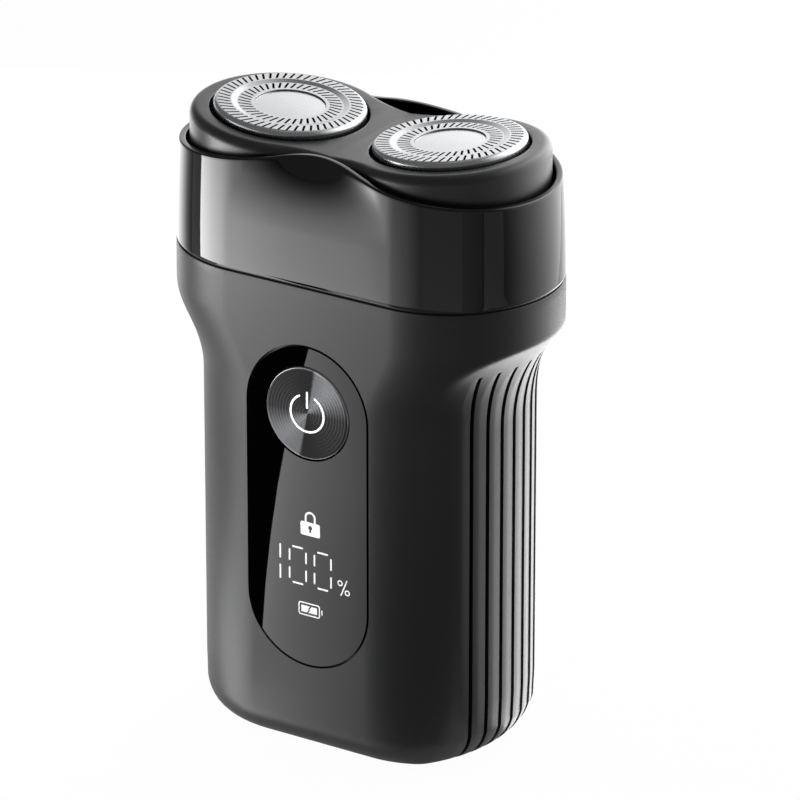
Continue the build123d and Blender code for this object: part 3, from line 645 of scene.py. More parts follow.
@dataclass
class Collar:
    """Gloss collar: a drawn-in waist, a waved rim with a rounded lip, and a floor with two bores."""

    tall: float = 18.55
    draft: float = 0.715
    draft_power: float = 1.6
    foot_waist: float = 16.38
    draw: float = 3.0
    draw_power: float = 3.4
    wave_x: tuple[float, ...] = (-5.2, 0.0, 5.2, 9.6, 14.0, 21.5, 30.0)
    wave: tuple[float, ...] = (0.09, 0.0, 0.09, 0.3, 0.5, 0.75, 1.0)
    rim_mid: float = 91.2
    rim_end: float = 87.2
    wall: float = 1.6
    lip: float = 1.1
    lip_round: float = 0.32
    seam_round: float = 0.14
    floor_low: float = 77.0
    floor_high: float = 78.6
    gear_x: float = 14.0
    bore_r: float = 5.0
    screw_y: float = 10.9
    screw_r: float = 2.05
    screw_seat: float = 0.2
    seam_rows: int = 4
    side_rows: int = 44
    lip_rows: int = 7
    inner_rows: int = 14
    outline: Outline = field(default_factory=Outline)

    def section(self, height: np.ndarray, inset: float) -> np.ndarray:
        """Outline points at one height for each point, set in from the outside.

        Args:
            height: Height of each point.
            inset: Depth under the outside.

        Returns:
            X, Y rows.
        """
        share = np.maximum((np.asarray(height) - SEAM_HIGH) / self.tall, 0.0)
        end_r = END_R - self.draft * share ** self.draft_power - inset
        waist = self.foot_waist - self.draw * share ** self.draw_power - inset
        return self.outline.at(end_r, waist)

    def rim(self) -> np.ndarray:
        """Wave the rim.

        Returns:
            Height of the rim over each outline point.
        """
        flat = self.section(np.full(len(self.outline.share()[0]), self.rim_end), 0.0)
        drop = smooth_curve(self.wave_x, self.wave, np.abs(flat[:, 0]))
        return self.rim_mid - (self.rim_mid - self.rim_end) * drop

    def rings(self) -> list[np.ndarray]:
        """Lay rings from the floor's underside, round the foot, up the outside, over the lip and down inside.

        Returns:
            Rings of X, Y, Z rows.
        """
        rim = self.rim()
        rows = [(np.full_like(rim, height), self.wall) for height in (self.floor_low, SEAM_HIGH)]
        for turn in np.linspace(0, QUARTER, self.seam_rows):
            height = SEAM_HIGH + self.seam_round * (1 - math.cos(turn))
            rows.append((np.full_like(rim, height), self.seam_round * (1 - math.sin(turn))))
        low = SEAM_HIGH + self.seam_round
        shoulder = rim - self.lip_round
        for share in np.linspace(0, 1, self.side_rows)[1:]:
            rows.append((low + share * (shoulder - low), 0.0))
        for turn in np.linspace(0, QUARTER, self.lip_rows)[1:]:
            rows.append((shoulder + self.lip_round * math.sin(turn), self.lip_round * (1 - math.cos(turn))))
        for turn in np.linspace(0, QUARTER, self.lip_rows - 1):
            inset = self.lip - self.lip_round * (1 - math.sin(turn))
            rows.append((shoulder + self.lip_round * math.cos(turn), inset))
        for share in np.linspace(0, 1, self.inner_rows)[1:]:
            rows.append((shoulder + share * (self.floor_high - shoulder), self.lip + share * (self.wall - self.lip)))
        return [ring(self.section(height, inset), height) for height, inset in rows]

    def build(self) -> None:
        """Make the collar and cut its bores and screw pockets."""
        made = solid("gloss_collar", self.rings())
        high = self.floor_high + OVERCUT
        tools = []
        for side in SIDES:
            tools.append(drum("bore", self.bore_r, self.floor_low - OVERCUT, high,
                              Matrix.Translation((side * self.gear_x * MM, 0, 0))))
            tools.append(drum("pocket", self.screw_r, self.floor_low + self.screw_seat, high,
                              Matrix.Translation((0, side * self.screw_y * MM, 0)), 40))
        combine(made, tools)
        place_piece(made, Body.HANDLE, PIANO, ["head_shell"], 40.0)


@dataclass
class Handle:
    """Moulded handle: a stadium grip that flares to the collar, with a ribbed recess in each end.

    Each ring is laid out in columns round an upright axis inside one end, and mirrored for the other end.
    """

    grip_x: float = 9.2
    flare_low: float = 54.5
    flare_high: float = 66.5
    flare_rest: float = 0.5
    base_round: float = 5.5
    axis_x: float = 2.2
    recess_r: float = 22.2
    recess_base: float = 7.0
    recess_flare: float = 52.0
    recess_out: float = 5.5
    ledge_z: float = 65.7
    edge_round: float = 0.3
    arch: float = 2.0
    arch_run: float = 10.0
    arch_soft: float = 0.1
    grooves: int = 7
    groove_step: float = math.radians(7.6)
    groove_d: float = 0.75
    groove_top: float = 62.0
    groove_tip: float = 4.5
    slot_tip: float = 0.9
    foot_fade: Point = (-0.5, 3.0)
    bevel: float = 1.5
    bevel_d: float = 0.17
    bevel_lead: float = 0.02
    slot: tuple[float, float, float, float] = (-0.25, -0.15, 0.18, 0.28)
    bevel_columns: tuple[float, ...] = (1.0, 0.92, 0.84, 0.7, 0.5, 0.3, 0.12)
    slot_columns: tuple[float, ...] = (-0.3, -0.25, -0.22, -0.18, -0.15, 0.0, 0.18, 0.21, 0.25, 0.28, 0.38, 0.6)
    plain_columns: int = 78
    wall: float = 2.0
    base_t: float = 2.0
    cavity: tuple[Point, ...] = ((SEAM_LOW, 13.4), (67.5, 13.4), (60.0, 8.6), (57.0, 7.8), (8.0, 7.8))
    cavity_round: float = 3.5
    seam_round: float = 0.14
    pocket: float = 1.2
    pocket_gap: float = 0.34
    hole_gap: float = 0.2
    inlet: Spot = (9.24, 3.5, 11.2)
    inlet_deep: float = 8.4

    def turns(self) -> np.ndarray:
        """Choose the columns, packed close together at the groove walls.

        Returns:
            Rising angles round the recess axis.
        """
        spots = tuple(self.slot[0] - self.bevel * share for share in self.bevel_columns) + self.slot_columns
        angles = set()
        for index in range(self.grooves):
            middle = (index - self.grooves // 2) * self.groove_step
            angles.update(middle + spot / self.recess_r for spot in spots)
        angles.update(np.linspace(max(angles), QUARTER, self.plain_columns)[1:])
        angles.update(np.linspace(min(angles), -QUARTER, self.plain_columns)[1:])
        return np.array(sorted(angles))

    def outside(self, turn: np.ndarray, inset: float, centre: float) -> np.ndarray:
        """Distance from the recess axis to the plain outside.

        Args:
            turn: Column angles.
            inset: Depth under the outside.
            centre: X of the round end's centre.

        Returns:
            One distance for each column.
        """
        radius = END_R - inset
        away = centre - self.axis_x
        reach = away * np.cos(turn) + np.sqrt(np.maximum(radius ** 2 - (away * np.sin(turn)) ** 2, 0))
        flat = radius / np.maximum(np.abs(np.sin(turn)), 1e-6)
        return np.where(self.axis_x + reach * np.cos(turn) >= centre, reach, flat)

    def centre(self, height: float) -> float:
        """X of the round end's centre at a height: an S between grip and collar."""
        share = clamp((height - self.flare_low) / (self.flare_high - self.flare_low))
        return self.grip_x + ease(share) * (HEAD_X - self.grip_x)

    def recess(self, height: float) -> float:
        """Radius of the ribbed recess: a run-out at the base and a flare under the ledge.

        Args:
            height: Height above the floor.

        Returns:
            The radius.
        """
        if height < self.recess_base:
            bend = math.sqrt(self.recess_base ** 2 - (self.recess_base - height) ** 2)
            return self.recess_r - self.recess_base + bend
        rise = self.ledge_z - self.recess_flare
        arc_r = (rise ** 2 + self.recess_out ** 2) / (2 * self.recess_out)
        climb = min(max(height - self.recess_flare, 0), arc_r * 0.95)
        return self.recess_r + arc_r - math.sqrt(arc_r ** 2 - climb ** 2)

    def troughs(self, turn: np.ndarray, height: float) -> np.ndarray:
        """Depth of the grooves: a long bevel toward the front, then a narrow slot.

        Args:
            turn: Column angles.
            height: Height of the ring.

        Returns:
            One depth for each column.
        """
        outer = self.grooves // 2
        shift = self.bevel / 2 / self.recess_r
        nearest = np.clip(np.round((turn + shift) / self.groove_step), -outer, outer)
        across = (turn - nearest * self.groove_step) * self.recess_r
        left = max(self.groove_top - height, 0)
        tip = math.sqrt(min(left / self.groove_tip, 1))
        deep = self.groove_d * math.sqrt(min(left / self.slot_tip, 1))
        profile = np.interp(across, (self.slot[0] - self.bevel_lead - self.bevel * tip, *self.slot),
                            (0.0, self.bevel_d * tip, deep, deep, 0.0))
        start, run = self.foot_fade
        return profile * clamp((height - start) / run)

    def level(self, height: float, inset: float) -> np.ndarray:
        """One ring of the outside.

        Args:
            height: Height of the ring.
            inset: Depth under the plain outside.

        Returns:
            X, Y, Z rows round the handle.
        """
        turn = self.turns()
        plain = self.outside(turn, inset, self.centre(height))
        climb = ease(clamp((height - self.recess_flare) / self.arch_run))
        spread = self.arch * (np.sqrt(turn ** 2 + self.arch_soft ** 2) - self.arch_soft) * climb
        hollow = self.recess(height) - spread - self.troughs(turn, height)
        gap = np.clip(0.5 + 0.5 * (hollow - plain) / self.edge_round, 0, 1)
        reach = hollow * (1 - gap) + plain * gap - self.edge_round * gap * (1 - gap)
        return self.loop(turn, reach, height)

    def loop(self, turn: np.ndarray, reach: np.ndarray, height: float) -> np.ndarray:
        """Turn one end's distances into a ring with both ends.

        Args:
            turn: Column angles.
            reach: Distance from the recess axis in each column.
            height: Height of the ring.

        Returns:
            X, Y, Z rows round the handle.
        """
        x = self.axis_x + reach * np.cos(turn)
        y = reach * np.sin(turn)
        right = np.stack([x, y], axis=1)
        left = np.stack([-x[::-1], y[::-1]], axis=1)
        return ring(np.concatenate([right, left]), height)

    def lining(self, height: float, centre: float, inset: float) -> np.ndarray:
        """One ring of the cavity."""
        turn = self.turns()
        return self.loop(turn, self.outside(turn, inset, centre), height)

    def rings(self) -> list[np.ndarray]:
        """Lay rings from the base up the outside, over the mouth and down the cavity.

        Returns:
            Rings of X, Y, Z rows.
        """
        top = SEAM_LOW - self.seam_round
        high = self.flare_high + self.flare_rest
        rows = []
        for turn in np.linspace(0, QUARTER, 16):
            rows.append((self.base_round * (1 - math.cos(turn)), self.base_round * (1 - math.sin(turn))))
        stretches = ((self.base_round, self.recess_flare, 12), (self.recess_flare, high, 76), (high, top, 6))
        for start, end, steps in stretches:
            rows += [(height, 0.0) for height in np.linspace(start, end, steps)[1:]]
        for turn in np.linspace(0, QUARTER, 4)[1:]:
            rows.append((top + self.seam_round * math.sin(turn), self.seam_round * (1 - math.cos(turn))))
        rings = [self.level(height, inset) for height, inset in rows]
        rings += [self.lining(height, centre, self.wall) for height, centre in self.cavity]
        rings.append(self.lining(self.base_t, self.cavity[-1][1], self.wall + self.cavity_round))
        return rings

    def pocket_tool(self) -> bpy.types.Object:
        """Upright stadium that sinks the display window."""
        flat = stadium(((0, BUTTON_Z), (0, WINDOW_LOW)), WINDOW_R + self.pocket_gap, 0.0, 65)
        return solid("pocket", [standing(flat, y) for y in (FRONT_Y + self.pocket, FRONT_Y - OVERCUT)])

    def inlet_tool(self) -> bpy.types.Object:
        """Rounded mouth for the charging socket, through the base.

        Returns:
            The closed tool.
        """
        wide, deep, y = self.inlet
        end = (wide - deep) / 2
        flat = stadium(((end, y), (-end, y)), deep / 2, -QUARTER, 25)
        return solid("mouth", [ring(flat, -OVERCUT), ring(flat, self.inlet_deep)])

    def build(self) -> None:
        """Make the handle and cut its pocket, button hole and socket mouth."""
        made = solid("moulded_handle", self.rings())
        turned = Matrix.Translation((0, 0, BUTTON_Z * MM)) @ Matrix.Rotation(QUARTER, 4, "X")
        hole = drum("hole", BUTTON_R + self.hole_gap, -FRONT_Y - self.wall - OVERCUT, -FRONT_Y + OVERCUT, turned)
        combine(made, [self.pocket_tool(), self.inlet_tool()])
        combine(made, [hole])
        place_piece(made, Body.HANDLE, BODY, ["handle_shell"], 50.0)


@dataclass
class Deck:
    """Satin deck: a peanut shell under two tilted planes that meet in a crease, with a sleeve round each head."""

    end_r: float = 14.3
    waist: float = 11.4
    seat: float = 78.65
    shoulder: float = 1.4
    wall: float = 1.3
    skin: float = 1.6
    hole_r: float = 11.45
    hole_round: float = 0.25
    hole_span: Point = (-7.0, 3.0)
    sleeve_r: float = 12.6
    sleeve: float = 3.85
    outline: Outline = field(default_factory=Outline)

    def plane(self, flat: np.ndarray) -> np.ndarray:
        """Height of the two tilted planes over X, Y rows."""
        return CREASE_Z + np.abs(flat[:, 0]) * math.tan(TILT)

    def rings(self) -> list[np.ndarray]:
        """Lay rings from the skin's underside down the inside, round the foot and up to the shoulder's end.

        Returns:
            Rings of X, Y, Z rows.
        """
        outer = self.outline.at(self.end_r, self.waist)
        inner = self.outline.at(self.end_r - self.wall, self.waist - self.wall)
        under = self.plane(inner) - self.skin / math.cos(TILT)
        rings = [ring(inner, under), ring(inner, self.seat), ring(outer, self.seat)]
        rise = self.plane(outer) - self.shoulder - self.seat
        rings += [ring(outer, self.seat + share * rise) for share in np.linspace(0, 1, 5)[1:]]
        for turn in np.linspace(0, QUARTER, 14)[1:]:
            inset = self.shoulder * (1 - math.cos(turn))
            flat = self.outline.at(self.end_r - inset, self.waist - inset)
            rings.append(ring(flat, self.plane(flat) - self.shoulder * (1 - math.sin(turn))))
        return rings

    def hole_tool(self, side: int) -> bpy.types.Object:
        """Cutter for a head hole with a softened mouth.

        Args:
            side: -1 for the left head, 1 for the right.

        Returns:
            The closed tool.
        """
        low, high = self.hole_span
        rows = [(self.hole_r, low)]
        for bend in np.linspace(0, QUARTER, 6):
            grow = self.hole_round * (1 - math.cos(bend))
            rows.append((self.hole_r + grow, -self.hole_round * (1 - math.sin(bend))))
        rows.append((self.hole_r + self.hole_round, high))
        made = solid("head_hole", [ring(circle(radius, 160), height) for radius, height in rows])
        made.data.transform(head_place(side))
        return made

    def build(self) -> None:
        """Make the deck, close it with two planes above and below, and cut the head holes."""
        rings = self.rings()
        count = len(rings[0])
        last = (len(rings) - 1) * count
        back = self.outline.ends + self.outline.mids // 2
        front = back + count // 2
        faces = quads(len(rings), count)
        for half in ([*range(front, count), *range(back + 1)], [*range(back, front + 1)]):
            faces.append(tuple(reversed(half)))
            faces.append(tuple(last + index for index in half))
        made = piece("satin_deck", np.concatenate(rings) * MM, faces)
        ridges = [drum("sleeve", self.sleeve_r, -self.sleeve, -self.skin / 2, head_place(side), 128)
                  for side in SIDES]
        combine(made, ridges, "UNION")
        combine(made, [self.hole_tool(side) for side in SIDES])
        place_piece(made, Body.FRAME, DECK, ["head_frame"], 30.0)


def arc(x: float, z: float, radius: float, start: float, end: float, steps: int = 25) -> list[Point]:
    """Points along an arc, from one angle to another in degrees."""
    turn = np.radians(np.linspace(start, end, steps))
    return [(x + radius * math.cos(t), z + radius * math.sin(t)) for t in turn]


def soft_box(box: Box, soft: float) -> list[Point]:
    """Closed line round a box with soft corners.

    Args:
        box: Left, low, right and high edge.
        soft: Radius of the corners.

    Returns:
        Points that start and end on the lower edge.
    """
    x0, z0, x1, z1 = box
    middle = [((x0 + x1) / 2, z0)]
    corners = ((x1 - soft, z0 + soft), (x1 - soft, z1 - soft), (x0 + soft, z1 - soft), (x0 + soft, z0 + soft))
    line = list(middle)
    for index, (x, z) in enumerate(corners):
        line += arc(x, z, soft, 90 * index - 90, 90 * index, 5)
    return line + middle


def stroke_rim(line: np.ndarray, half: float) -> np.ndarray:
    """Outline of a stroke with round ends.

    Args:
        line: Points along the middle.
        half: Half of the stroke's width.

    Returns:
        Points round the stroke.
    """
    along = np.gradient(line, axis=0)
    along /= np.linalg.norm(along, axis=1, keepdims=True)
    side = np.stack([-along[:, 1], along[:, 0]], axis=1)
    caps = np.linspace(0, math.pi, 9)[1:-1, None]
    end = line[-1] + half * (np.sin(caps) * along[-1] - np.cos(caps) * side[-1])
    start = line[0] - half * (np.sin(caps) * along[0] - np.cos(caps) * side[0])
    return np.concatenate([line - half * side, end, (line + half * side)[::-1], start])


def slab(name: str, rims: Sequence[Sequence[Point]], front: float, back: float) -> bpy.types.Object:
    """Flat plates standing in the XZ plane.

    Args:
        name: Name of the object.
        rims: Closed outlines of X, Z points, one for each plate.
        front: Y of the front face.
        back: Y of the back face.

    Returns:
        The object.
    """
    spots: list[np.ndarray] = []
    faces: list[tuple[int, ...]] = []
    for outline in rims:
        rim = np.asarray(outline, float)
        ahead = np.roll(rim, -1, axis=0)
        if np.sum(rim[:, 0] * ahead[:, 1] - rim[:, 1] * ahead[:, 0]) < 0:
            rim = rim[::-1]
        count, base = len(rim), len(spots)
        spots += [*standing(rim, front), *standing(rim, back)]
        faces.append(tuple(base + i for i in range(count)))
        faces.append(tuple(base + count + i for i in reversed(range(count))))
        faces += [tuple(base + i for i in reversed(face)) for face in quads(2, count)]
    return piece(name, np.asarray(spots) * MM, faces)


def ribbon(name: str, strokes: Sequence[Sequence[Point]], width: float, front: float,
           back: float) -> bpy.types.Object:
    """Flat strokes with round ends, standing in the XZ plane.

    Args:
        name: Name of the object.
        strokes: Lines of X, Z points.
        width: Width of a stroke.
        front: Y of the front face.
        back: Y of the back face.

    Returns:
        The object.
    """
    return slab(name, [stroke_rim(np.asarray(stroke, float), width / 2) for stroke in strokes], front, back)


@dataclass
class PowerButton:
    """Turned button face with a bright chamfer, a shallow dish and a printed power symbol."""

    edge: float = 0.2
    soft: float = 0.04
    dish: float = 0.10
    thick: float = 0.5
    ring_r: float = 2.8
    ring_gap: float = 28.0
    bar: Point = (0.9, 3.2)
    stroke: float = 0.28
    print_t: float = 0.01

    def face(self) -> bpy.types.Object:
        """Make the face from its back edge, over the chamfer and down the dish.

        Returns:
            The face.
        """
        inner = BUTTON_R - self.edge
        rows = [(BUTTON_R, self.thick), (BUTTON_R, self.edge), (BUTTON_R - self.soft, self.edge - 1.5 * self.soft)]
        rows += [(inner + self.soft, self.soft / 2), (inner, 0.0)]
        rows += [(inner * share, self.dish * (1 - share ** 2)) for share in np.linspace(1, 0, 26)[1:-1]]
        lift = np.array((0.0, BUTTON_Z))
        return solid("button_face_spun", [standing(circle(radius, 144) + lift, FRONT_Y + deep)
                                          for radius, deep in rows])

    def build(self) -> None:
        """Make the face, brighten its chamfer and print the symbol."""
        made = self.face()
        place_piece(made, Body.BUTTON, SPUN_WITH_PAINTED_FANS, ["button_face"], 30.0)
        made.data.materials.append(CHAMFER.build())
        for side in made.data.polygons:
            middle = side.center / MM
            if math.hypot(middle.x, middle.z - BUTTON_Z) > BUTTON_R - self.edge - self.soft / 2:
                side.material_index = 1
        self.symbol()

    def symbol(self) -> None:
        """Print the power symbol, an open ring and a bar, in white print with a painted glow."""
        low, high = self.bar
        strokes = [arc(0.0, BUTTON_Z, self.ring_r, 90 + self.ring_gap, 450 - self.ring_gap, 60),
                   [(0.0, BUTTON_Z + low), (0.0, BUTTON_Z + high)]]
        made = ribbon("power_symbol", strokes, self.stroke, FRONT_Y - self.print_t, FRONT_Y + self.dish)
        place_piece(made, Body.BUTTON, PRINT_WITH_PAINTED_GLOW)


@dataclass
class Display:
    """Lit marks in the window: a padlock, the figures 100, a percent sign and a battery."""

    front: float = FRONT_Y - 0.012
    back: float = FRONT_Y + 0.03
    stroke: float = 0.27
    fine: float = 0.19
    foot: float = 26.72
    wide: float = 2.82
    tall: float = 5.6
    bar_gap: float = 0.62
    figure_x: Spot = (-7.54, -3.12, 1.14)
    one_reach: float = 0.42
    dots: tuple[Point, Point] = ((5.5, 28.46), (6.72, 27.16))
    dot_r: float = 0.36
    slash: tuple[Point, Point] = ((5.66, 26.6), (6.66, 29.02))
    corner: float = 0.3
    lock: Box = (-1.2, 34.56, 2.1, 36.66)
    bow_r: float = 0.78
    bow_z: float = 0.72
    bow_stroke: float = 0.3
    bow_behind: float = 0.004
    keyhole_r: float = 0.34
    keyhole_up: float = 0.2
    keyhole_foot: float = 0.5
    battery: Box = (-1.55, 22.05, 1.95, 23.92)
    margin: float = 0.42
    terminal: float = 0.62
    bolt: tuple[Point, ...] = ((0.14, 0.06), (-0.14, -0.06))
    bolt_lean: float = 0.28
    bolt_half: float = 0.13

    def segments(self, x: float, z: float, tall: float, lit: str) -> list[list[Point]]:
        """Bars of one figure made of bars.

        Args:
            x: Left of the figure.
            z: Foot of the figure.
            tall: Height of the figure.
            lit: Letters a to f of the lit bars, from the top round to the upper left.

        Returns:
            Strokes.
        """
        gap, right = self.bar_gap, x + self.wide
        mid, top = z + tall / 2, z + tall
        ends = {
            "a": [(x + gap, top), (right - gap, top)],
            "b": [(right, top - gap), (right, mid + gap)],
            "c": [(right, mid - gap), (right, z + gap)],
            "d": [(x + gap, z), (right - gap, z)],
            "e": [(x, mid - gap), (x, z + gap)],
            "f": [(x, top - gap), (x, mid + gap)],
        }
        return [ends[letter] for letter in lit]

    def figures(self) -> list[bpy.types.Object]:
        """Make the figures and the percent sign.

        Returns:
            The pieces.
        """
        one, *zeros = self.figure_x
        bars = self.segments(one, self.foot - self.one_reach, self.tall + 2 * self.one_reach, "bc")
        for x in zeros:
            bars += self.segments(x, self.foot, self.tall, "abcdef")
        sign = [arc(x, z, self.dot_r, 90, 449) for x, z in self.dots] + [list(self.slash)]
        return [ribbon("display_figures", bars, self.stroke, self.front, self.back),
                ribbon("display_percent", sign, self.fine, self.front, self.back)]

    def padlock(self) -> list[bpy.types.Object]:
        """Make the padlock: a shackle behind a body of two halves, with a keyhole left dark between them.

        Returns:
            The pieces.
        """
        x0, z0, x1, z1 = self.lock
        mid, eye, foot = (x0 + x1) / 2, (z0 + z1) / 2 + self.keyhole_up, z0 + self.keyhole_foot
        bow = arc(mid, z1 + self.bow_z, self.bow_r, 180, 0)
        shackle = [(mid - self.bow_r, z1), *bow, (mid + self.bow_r, z1)]
        half = [(mid, z0), *arc(x0 + self.corner, z0 + self.corner, self.corner, 270, 180)]
        half += [*arc(x0 + self.corner, z1 - self.corner, self.corner, 180, 90), (mid, z1)]
        half += [*arc(mid, eye, self.keyhole_r, 90, 240), (mid - self.keyhole_r / 2, foot), (mid, foot)]
        mirrored = [(2 * mid - x, z) for x, z in half]
        return [ribbon("display_padlock", [shackle], self.bow_stroke, self.front + self.bow_behind, self.back),
                slab("display_padlock_body", [half, mirrored], self.front, self.back)]

    def charge(self) -> list[bpy.types.Object]:
        """Make the battery: a frame with a terminal, and a fill parted by a bolt left dark.

        Returns:
            The pieces.
        """
        x0, z0, x1, z1 = self.battery
        mid, level = (x0 + x1) / 2, (z0 + z1) / 2
        low, high = z0 + self.margin, z1 - self.margin
        bolt = [(mid - self.bolt_lean, low), *((mid + x, level + z) for x, z in self.bolt),
                (mid + self.bolt_lean, high)]
        fill = []
        for side, edge in ((-1, x0 + self.margin), (1, x1 - self.margin)):
            fill.append([(edge, low), *((x + side * self.bolt_half, z) for x, z in bolt), (edge, high)])
        end = x1 + self.margin
        case = [soft_box(self.battery, self.corner), [(end, z0 + self.terminal), (end, z1 - self.terminal)]]
        return [ribbon("display_battery", case, self.fine, self.front, self.back),
                slab("display_battery_fill", fill, self.front, self.back)]

    def build(self) -> None:
        """Make the marks and light them."""
        for made in self.figures() + self.padlock() + self.charge():
            place_piece(made, Body.HANDLE, INK)


class Seen(Enum):
    """Which rays meet a piece of studio gear."""

    LAMP = ("diffuse", "glossy", "shadow")
    FLAG = ("glossy",)


def set_up(made: bpy.types.Object, paint: bpy.types.Material, seen: Seen) -> None:
    """Paint a piece of studio gear and choose the rays that meet it.

    Args:
        made: The piece.
        paint: Its material.
        seen: Rays that meet it.
    """
    made.data.materials.append(paint)
    for ray in ("camera", "diffuse", "glossy", "transmission", "shadow"):
        setattr(made, f"visible_{ray}", ray in seen.value)


def upright(start: Point, end: Point, low: float, high: float) -> Rows:
    """Edges of a card that stands on its lower edge.

    Args:
        start: Plan position of one end, in millimetres.
        end: Plan position of the other end.
        low: Height of the lower edge.
        high: Height of the upper edge.

    Returns:
        The lower and the upper edge.
    """
    return ((*start, low), (*end, low)), ((*start, high), (*end, high))


def lying(near: Sequence[Point], far: Sequence[Point], height: float) -> Rows:
    """Edges of a card that lies flat.

    Args:
        near: Plan points of one edge, in millimetres.
        far: Plan points of the opposite edge.
        height: Height of the card.

    Returns:
        Both edges.
    """
    return tuple((*p, height) for p in near), tuple((*p, height) for p in far)


def sector(centre: Point, span: Point, reach: Point, height: float) -> Rows:
    """Edges of a card that lies flat in part of a ring.

    Args:
        centre: Plan position of the ring's middle, in millimetres.
        span: First and last direction in degrees, from the front toward +X.
        reach: Inner and outer radius.
        height: Height of the card.

    Returns:
        The inner and the outer edge.
    """
    x, y = centre
    turns = np.radians(np.linspace(*span, 49))
    inner, outer = ([(x + r * math.sin(t), y - r * math.cos(t)) for t in turns] for r in reach)
    return lying(inner, outer, height)


@dataclass
class Card:
    """Studio card, bright or dark, that fades along its length and height.

    Args:
        name: Name of the card.
        rows: Two opposite edges in millimetres, with the same number of points.
        along: Brightness at places along those edges, each a share of the length and a strength.
        up: Share of that brightness at places across the card, each a share of the width and a strength.
        seen: Rays that meet the card.
    """

    name: str
    rows: Rows
    along: tuple[Point, ...]
    up: tuple[Point, ...] = ((0.0, 1.0),)
    seen: Seen = Seen.LAMP

    def ramp(self, tree: bpy.types.NodeTree, source: bpy.types.NodeSocket, stops: Sequence[Point],
             peak: float) -> bpy.types.NodeSocket:
        """Add a ramp through brightness stops.

        Args:
            tree: Material node tree.
            source: Position from 0 to 1.
            stops: Places and strengths.
            peak: Strength that counts as 1.

        Returns:
            The ramp's colour socket.
        """
        made = add(tree, "ShaderNodeValToRGB", None, {"Fac": source})
        line = made.color_ramp
        line.interpolation = "B_SPLINE"
        while len(line.elements) > 1:
            line.elements.remove(line.elements[-1])
        for index, (place, strength) in enumerate(stops):
            spot = line.elements[0] if index == 0 else line.elements.new(place)
            spot.position = place
            spot.color = (strength / peak, strength / peak, strength / peak, 1)
        return made.outputs["Color"]

    def build(self) -> None:
        """Make the card and its light."""
        count = len(self.rows[0])
        made = piece(self.name, np.asarray(self.rows[0] + self.rows[1]) * MM, quads(2, count, False))
        sheet = made.data.uv_layers.new(name="sheet")
        for place, corner in zip(sheet.data, made.data.loops):
            place.uv = (corner.vertex_index % count / (count - 1), corner.vertex_index // count)
        paint = blank(self.name)
        tree = paint.node_tree
        where = add(tree, "ShaderNodeTexCoord")
        split = add(tree, "ShaderNodeSeparateXYZ", None, {0: where.outputs["UV"]})
        peak = max(max(strength for _, strength in self.along), 0.01)
        across = self.ramp(tree, split.outputs["X"], self.along, peak)
        upward = self.ramp(tree, split.outputs["Y"], self.up, 1.0)
        level = maths(tree, "MULTIPLY", maths(tree, "MULTIPLY", across, upward), peak)
        glow = add(tree, "ShaderNodeEmission", None, {"Strength": level})
        add(tree, "ShaderNodeOutputMaterial", None, {"Surface": glow.outputs[0]})
        set_up(made, paint, self.seen)
        LOG.info("%s in place", self.name)


